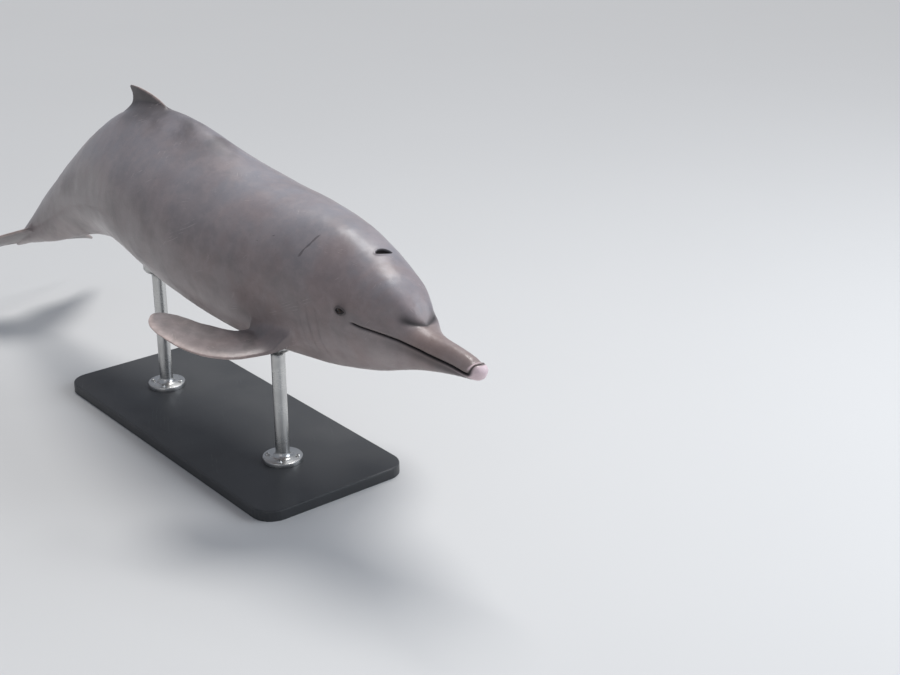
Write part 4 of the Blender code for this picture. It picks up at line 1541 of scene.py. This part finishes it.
@dataclass(frozen=True)
class WetEye(Finish):
    """Dark wet eye with a brown iris and a lying oval pupil."""

    white: Colour = (0.018, 0.012, 0.011)
    iris: Colour = (0.016, 0.008, 0.005)
    fibre: Colour = (0.046, 0.024, 0.013)
    ring: Colour = (0.006, 0.004, 0.004)
    pupil: Colour = (0.002, 0.002, 0.003)

    def dress(self, sheet: Sheet) -> None:
        """Add the nodes of this finish.

        Args:
            sheet: The sheet of the material.
        """
        look = sheet.attribute("look", "Vector")
        away = sheet.vector("LENGTH", sheet.mapped(look, (1.0, 1.0, 0.0)))
        oval = sheet.vector("LENGTH", sheet.mapped(look, (1.0, 1.55, 0.0)))
        fibres = sheet.noise(sheet.mapped(look, (1.0, 1.0, 0.3)), 900.0, 4.0)
        paint = Paint(sheet, self.iris)
        paint.lay(fibres, self.fibre)
        paint.lay(sheet.ramp(away, 0.0082, 0.0096), self.white)
        paint.lay(sheet.ramp(away, 0.0066, 0.0084), self.ring, sheet.ramp(away, 0.0104, 0.0088))
        paint.lay(sheet.ramp(oval, 0.0052, 0.0044), self.pupil)
        sheet.shade({"Base Color": paint.colour, "Roughness": sheet.sloped(fibres, 0.06, 0.08),
                     "Specular IOR Level": 0.12, "Coat Weight": 0.42, "Coat Roughness": 0.02},
                    fibres, 0.00006)


@dataclass(frozen=True)
class PowderCoat(Finish):
    """Satin powder coat with a fine orange peel, dust and lightly rubbed edges."""

    colour: Colour = (0.035, 0.037, 0.040)
    faded: Colour = (0.052, 0.054, 0.057)
    dust: Colour = (0.16, 0.16, 0.155)
    scuffed: Colour = (0.14, 0.14, 0.14)
    worn: Colour = (0.20, 0.20, 0.20)

    def dress(self, sheet: Sheet) -> None:
        """Add the nodes of this finish.

        Args:
            sheet: The sheet of the material.
        """
        place = sheet.place()
        cloud = blotches(sheet, place, 6.0, 0.35, 0.7)
        scuff = streaks(sheet, sheet.mapped(place, turn=(0, 0, 0.5)), 0.011, 0.10)
        paint = Paint(sheet, self.colour)
        paint.lay(cloud, self.faded, 0.25)
        paint.lay(sheet.ramp(sheet.noise(place, 420.0, 3.0, 0.7), 0.62, 0.80, 0.0, 0.25), self.dust)
        paint.lay(scuff, self.scuffed, 0.12)
        paint.lay(edge_wear(sheet, place, 0.0022, 0.5), self.worn)
        rough = sheet.sloped(scuff, -0.06, sheet.sloped(cloud, 0.10, 0.40))
        peel = sheet.sloped(scuff, -0.25, sheet.noise(place, 750.0, 2.0))
        sheet.shade({"Base Color": paint.colour, "Roughness": rough}, peel, 0.00012)


@dataclass(frozen=True)
class TurnedSteel(Finish):
    """Stainless steel with the fine rings of the lathe and faint smudges."""

    colour: Colour = (0.60, 0.60, 0.59)
    smudged: Colour = (0.46, 0.46, 0.45)
    worn: Colour = (0.78, 0.78, 0.77)
    rings: float = 1500.0

    def dress(self, sheet: Sheet) -> None:
        """Add the nodes of this finish.

        Args:
            sheet: The sheet of the material.
        """
        place = sheet.place()
        turning = sheet.noise(sheet.mapped(place, (4.0, 4.0, self.rings)), 1.0, 2.0)
        smudge = blotches(sheet, place, 16.0, 0.4, 0.75)
        paint = Paint(sheet, self.colour)
        paint.lay(smudge, self.smudged, 0.35)
        paint.lay(edge_wear(sheet, place, 0.0012, 0.4), self.worn)
        rough = sheet.sloped(smudge, 0.10, sheet.sloped(turning, 0.14, 0.20))
        sheet.shade({"Base Color": paint.colour, "Roughness": rough, "Metallic": 1.0},
                    turning, 0.00003)


@dataclass(frozen=True)
class PadRubber(Finish):
    """Dull black rubber with a fine grain."""

    colour: Colour = (0.020, 0.020, 0.021)
    bloom: Colour = (0.045, 0.045, 0.045)

    def dress(self, sheet: Sheet) -> None:
        """Add the nodes of this finish.

        Args:
            sheet: The sheet of the material.
        """
        place = sheet.place()
        grain = sheet.noise(place, 1400.0, 3.0)
        paint = Paint(sheet, self.colour)
        paint.lay(blotches(sheet, place, 40.0, 0.4, 0.7), self.bloom, 0.4)
        sheet.shade({"Base Color": paint.colour, "Roughness": sheet.sloped(grain, 0.2, 0.6)},
                    grain, 0.0001)


@dataclass(frozen=True)
class StudioFloor(Finish):
    """Plain pale floor."""

    colour: Colour = (0.60, 0.60, 0.595)

    def dress(self, sheet: Sheet) -> None:
        """Add the nodes of this finish.

        Args:
            sheet: The sheet of the material.
        """
        paint = Paint(sheet, self.colour)
        paint.lay(sheet.noise(sheet.place(), 0.8, 3.0), tuple(c * 0.97 for c in self.colour))
        sheet.shade({"Base Color": paint.colour, "Roughness": 0.75})


# --------------------------------------------------------------------------- assemblies


@dataclass
class Animal:
    """The dolphin: one skin and two eyes."""

    skin: Skin = field(default_factory=Skin)
    eye_segments: int = 64
    cornea: float = 0.86
    cornea_bulge: float = 1.02

    def shift(self) -> Array:
        """Where the start of the spine belongs, told by the left eye of the frame."""
        low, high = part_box("eye_left")
        middle = (np.array(low) + np.array(high)) / 2
        return middle - self.skin.spine.bend(self.skin.eye_centre(1)[None])[0]

    def build(self) -> bpy.types.Object:
        """Make the skin and the eyes.

        Returns:
            The skin.
        """
        shift = self.shift()
        skin = self.skin.build(shift)
        skin.data.materials.append(WetSkin("wet_skin").make())
        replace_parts(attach(skin, "root"), *FLESH)
        report(skin)
        finish = WetEye("wet_eye").make()
        for side, word in ((1, "left"), (-1, "right")):
            self.eye(f"eyeball_{word}", f"eye_{word}", side, shift, finish)
        return skin

    def eye(self, name: str, node: str, side: int, shift: Array, finish: bpy.types.Material) -> None:
        """Make one eyeball.

        Args:
            name: Name of the piece.
            node: Node that it stands for.
            side: +1 for the left eye.
            shift: Place of the start of the spine.
            finish: Its material.
        """
        spine, centre = self.skin.spine, self.skin.eye_centre(side)
        step = 0.001
        middle, out, ahead = spine.bend(np.array([centre, centre + (0, side * step, 0),
                                                  centre + (step, 0, 0)])) + shift
        out, ahead = (out - middle) / step, (ahead - middle) / step
        axes = Matrix((ahead, np.cross(out, ahead), out)).transposed()
        Bench.clear()
        bpy.ops.mesh.primitive_uv_sphere_add(segments=self.eye_segments,
                                             ring_count=self.eye_segments // 2,
                                             radius=self.skin.eye_radius, location=(0, 0, 0))
        obj = Bench.settle(bpy.context.active_object, name)
        cornea = self.skin.eye_radius * self.cornea
        with Bench.editing(obj):
            Bench.pick(obj, lambda v: v.co.z > cornea)
            bpy.ops.transform.resize(value=(1, 1, self.cornea_bulge), center_override=(0, 0, cornea))
        look = read(obj.data.vertices, "co", 3).ravel()
        obj.data.attributes.new("look", "FLOAT_VECTOR", "POINT").data.foreach_set("vector", look)
        obj.data.transform(Matrix.Translation(Vector(middle)) @ axes.to_4x4())
        if obj.data.polygons[0].normal.dot(obj.data.polygons[0].center - Vector(middle)) < 0:
            obj.data.flip_normals()
        obj.data.shade_smooth()
        obj.data.materials.append(finish)
        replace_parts(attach(obj, "root"), node)
        report(obj)


@dataclass
class Stand:
    """Plate, two turned rods with rubber pads under the belly, and the screws of their feet."""

    rod_radius: float = 0.019
    cup_radius: float = 0.042
    cup_depth: float = 0.030
    foot_radius: float = 0.055
    foot_height: float = 0.012
    pad: float = 0.0032
    gap: float = 0.0003
    screws: int = 4
    screw_circle: float = 0.0425
    screw_head: float = 0.0062

    def build(self, skin: bpy.types.Object) -> None:
        """Make the pieces of the stand and dress its plate.

        Args:
            skin: The animal's skin, which the rods are fitted to.
        """
        plate = bpy.data.objects["stand_base"]
        self.wear(plate, PowderCoat("powder_coat").make())
        steel, rubber = TurnedSteel("turned_steel").make(), PadRubber("pad_rubber").make()
        tree = self.belly_tree(skin)
        screw = self.screw(steel)
        for word in ("front", "rear"):
            low, high = map(Vector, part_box(f"stand_rod_{word}"))
            at = ((low.x + high.x) / 2, (low.y + high.y) / 2)
            self.rod(f"rod_{word}", f"stand_rod_{word}", at, low.z, tree, steel)
            self.cushion(f"pad_{word}", at, tree, rubber)
            for turn in range(self.screws):
                angle = math.tau * (turn + 0.5) / self.screws
                place = Vector((at[0] + self.screw_circle * math.cos(angle),
                                at[1] + self.screw_circle * math.sin(angle),
                                low.z + self.foot_height))
                copy = bpy.data.objects.new(f"screw_{word}_{turn}", screw.copy())
                bpy.context.scene.collection.objects.link(copy)
                copy.data.transform(Matrix.Translation(place) @ Matrix.Rotation(0.4 + turn, 4, "Z"))
                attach(copy, "root")
                report(copy)

    @staticmethod
    def wear(node: bpy.types.Object, material: bpy.types.Material) -> None:
        """Give a node of the frame a better material."""
        for slot in node.material_slots:
            slot.material = material
        report(node)

    @staticmethod
    def belly_tree(skin: bpy.types.Object) -> Callable[[float, float], float]:
        """Height of the underside of the animal over a place on the floor.

        Args:
            skin: The animal's skin.

        Returns:
            A function of a place that gives the height.
        """
        tree = BVHTree.FromPolygons([v.co for v in skin.data.vertices],
                                    [p.vertices for p in skin.data.polygons])

        def height(x: float, y: float) -> float:
            """Height of the belly over a place."""
            return tree.ray_cast(Vector((x, y, 0.0)), Vector((0, 0, 1)))[0].z

        return height

    def rod(self, name: str, node: str, at: tuple[float, float], floor: float,
            belly: Callable[[float, float], float], finish: bpy.types.Material) -> None:
        """Turn a rod with a foot and a cup, and fit the cup to the pad under the belly.

        Args:
            name: Name of the piece.
            node: Node that it stands for.
            at: Place of its axis.
            floor: Height of the top of the plate.
            belly: Height of the belly over a place.
            finish: Its material.
        """
        top = belly(*at)
        start = top - self.cup_depth
        foot = floor + self.foot_height
        r, c, f = self.rod_radius, self.cup_radius, self.foot_radius
        profile = [(share * (c - 0.0012), top) for share in (0, 0.25, 0.5, 0.75, 1.0)]
        profile += [(c - 0.0003, top - 0.0005), (c, top - 0.0014), (c, start + 0.0012),
                    (c - 0.0006, start), (c - 0.006, start - 0.0075), (r + 0.0055, start - 0.0125),
                    (r + 0.0022, start - 0.0165), (r + 0.0006, start - 0.022), (r, start - 0.030)]
        profile += [(r, foot + 0.0150), (r + 0.0010, foot + 0.0095), (r + 0.0040, foot + 0.0045),
                    (r + 0.0085, foot + 0.0014), (r + 0.0130, foot), (f - 0.0022, foot),
                    (f - 0.0007, foot - 0.0006), (f, foot - 0.0020), (f, floor), (f * 0.5, floor),
                    (0, floor)]
        obj = Bench.turned(name, profile, at, 72)
        for vertex in obj.data.vertices:
            if vertex.co.z > top - 0.0020:
                sink = self.pad + self.gap * 2
                vertex.co.z += belly(vertex.co.x, vertex.co.y) - top - sink
        self.finish(obj, finish, "stand_steel")
        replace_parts(obj, node)

    def cushion(self, name: str, at: tuple[float, float], belly: Callable[[float, float], float],
                finish: bpy.types.Material) -> None:
        """Make the rubber pad between a cup and the belly.

        Args:
            name: Name of the piece.
            at: Place of its middle.
            belly: Height of the belly over a place.
            finish: Its material.
        """
        top, thick, r = belly(*at), self.pad, self.cup_radius + 0.0012
        profile = [(share * (r - 0.001), top) for share in (0, 0.25, 0.5, 0.75, 1.0)]
        profile += [(r - 0.0002, top - 0.0007), (r, top - thick / 2),
                    (r - 0.0002, top - thick + 0.0007)]
        profile += [(share * (r - 0.001), top - thick) for share in (1.0, 0.75, 0.5, 0.25, 0)]
        obj = Bench.turned(name, profile, at, 72)
        for vertex in obj.data.vertices:
            vertex.co.z += belly(vertex.co.x, vertex.co.y) - top - self.gap
        self.finish(obj, finish, None)

    def screw(self, finish: bpy.types.Material) -> bpy.types.Mesh:
        """Model one button head with a hexagonal socket, on its washer, at the origin.

        Args:
            finish: Its material.

        Returns:
            The mesh.
        """
        r = self.screw_head
        profile = [(0, 0.0046), (r * 0.55, 0.0044), (r * 0.80, 0.0038), (r * 0.95, 0.0027),
                   (r, 0.0016), (r, 0.0010), (r + 0.0012, 0.0010), (r + 0.0014, 0.0008),
                   (r + 0.0014, 0.0001), (0, 0.0001)]
        head = Bench.turned("screw", profile, (0.0, 0.0), 32)
        Bench.clear()
        bpy.ops.mesh.primitive_cylinder_add(vertices=6, radius=0.0030, depth=0.0052,
                                            location=(0, 0, 0.0044))
        socket = Bench.settle(bpy.context.active_object, "socket")
        Bench.apply(head, "BOOLEAN", object=socket, operation="DIFFERENCE", solver="EXACT")
        bpy.data.objects.remove(socket)
        Bench.soften(head, 30)
        head.data.materials.clear()
        head.data.materials.append(finish)
        mesh = head.data
        bpy.data.objects.remove(head)
        return mesh

    @staticmethod
    def finish(obj: bpy.types.Object, material: bpy.types.Material, slot: str | None) -> None:
        """Shade, dress, attach to the root body and log a piece of the stand.

        Args:
            obj: The piece.
            material: Its material.
            slot: Not used.
        """
        Bench.soften(obj)
        obj.data.materials.clear()
        obj.data.materials.append(material)
        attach(obj, "root")
        report(obj)


class Lamp(Enum):
    """Soft lamps of the studio: kind, place, target, size, power and colour.

    A sun's size is its width in degrees, and an area lamp's is in metres.
    """

    TOP = ("SUN", (-1.5, 1.25, 4.5), (0.0, 0.0, 0.0), (26.0, 26.0), 2.0, (1.0, 0.985, 0.97))
    MELON = ("AREA", (0.35, 1.35, 2.9), (0.90, 0.0, 0.72), (0.6, 0.6), 12.0, (1.0, 0.99, 0.98))
    SIDE = ("AREA", (3.4, 3.4, 2.9), (0.5, 0.0, 0.6), (3.4, 3.0), 138.0, (0.86, 0.92, 1.0))
    FILL = ("AREA", (2.6, -4.4, 1.9), (0.2, 0.0, 0.6), (2.6, 1.8), 10.0, (1.0, 0.95, 0.90))


@dataclass
class Studio:
    """Pale floor, soft lamps and the camera."""

    floor: float = 200.0
    sky: Colour = (0.80, 0.86, 0.98)
    sky_strength: float = 0.36
    backdrop: Colour = (0.503, 0.509, 0.527)
    camera_place: tuple[float, float, float] = (3.51581, -1.97342, 1.90615)
    camera_turn: tuple[float, float, float] = (67.3614, 0.0, 50.4381)
    lens: float = 60.0

    def build(self) -> None:
        """Set up the floor, the lamps, the sky and the camera."""
        Bench.clear()
        bpy.ops.mesh.primitive_plane_add(size=self.floor, location=(0, 0, 0))
        floor = Bench.settle(bpy.context.active_object, "studio_floor")
        floor.data.materials.append(StudioFloor("studio_floor").make())
        world = bpy.context.scene.world or bpy.data.worlds.new("studio")
        bpy.context.scene.world = world
        world.use_nodes = True
        sheet, nodes = Sheet(world.node_tree), world.node_tree.nodes
        sheet.fill(nodes["Background"], {"Color": (*self.sky, 1), "Strength": self.sky_strength})
        sky = nodes["Background"].outputs[0]
        seen = sheet.put("Background", {"Color": (*self.backdrop, 1)}).outputs[0]
        direct = sheet.put("LightPath").outputs["Is Camera Ray"]
        mix = sheet.put("MixShader", {0: direct, 1: sky, 2: seen})
        sheet.fill(nodes["World Output"], {"Surface": mix.outputs[0]})
        for lamp in Lamp:
            kind, place, target, size, power, colour = lamp.value
            light = bpy.data.lights.new(lamp.name.lower(), kind)
            if kind == "SUN":
                light.angle = math.radians(size[0])
            else:
                light.shape, light.size, light.size_y = "RECTANGLE", *size
            light.energy, light.color = power, colour
            obj = bpy.data.objects.new(light.name, light)
            obj.location = place
            aim = Vector(target) - Vector(place)
            obj.rotation_euler = aim.to_track_quat("-Z", "Y").to_euler()
            bpy.context.scene.collection.objects.link(obj)
        camera = bpy.data.objects.new("camera", bpy.data.cameras.new("camera"))
        camera.location = self.camera_place
        camera.rotation_euler = tuple(map(math.radians, self.camera_turn))
        camera.data.lens, camera.data.sensor_width = self.lens, 36.0
        bpy.context.scene.collection.objects.link(camera)
        bpy.context.scene.camera = camera
        bpy.context.scene.view_settings.view_transform = "Standard"


def report(obj: bpy.types.Object) -> None:
    """Log a finished piece."""
    LOG.info("%s: %d faces", obj.name, len(obj.data.polygons))


def main() -> None:
    """Build the model and the studio."""
    logging.basicConfig(level=logging.INFO, format="%(name)s %(message)s")
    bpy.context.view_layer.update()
    Studio().build()
    skin = Animal().build()
    Stand().build(skin)


if __name__ == "__main__":
    main()
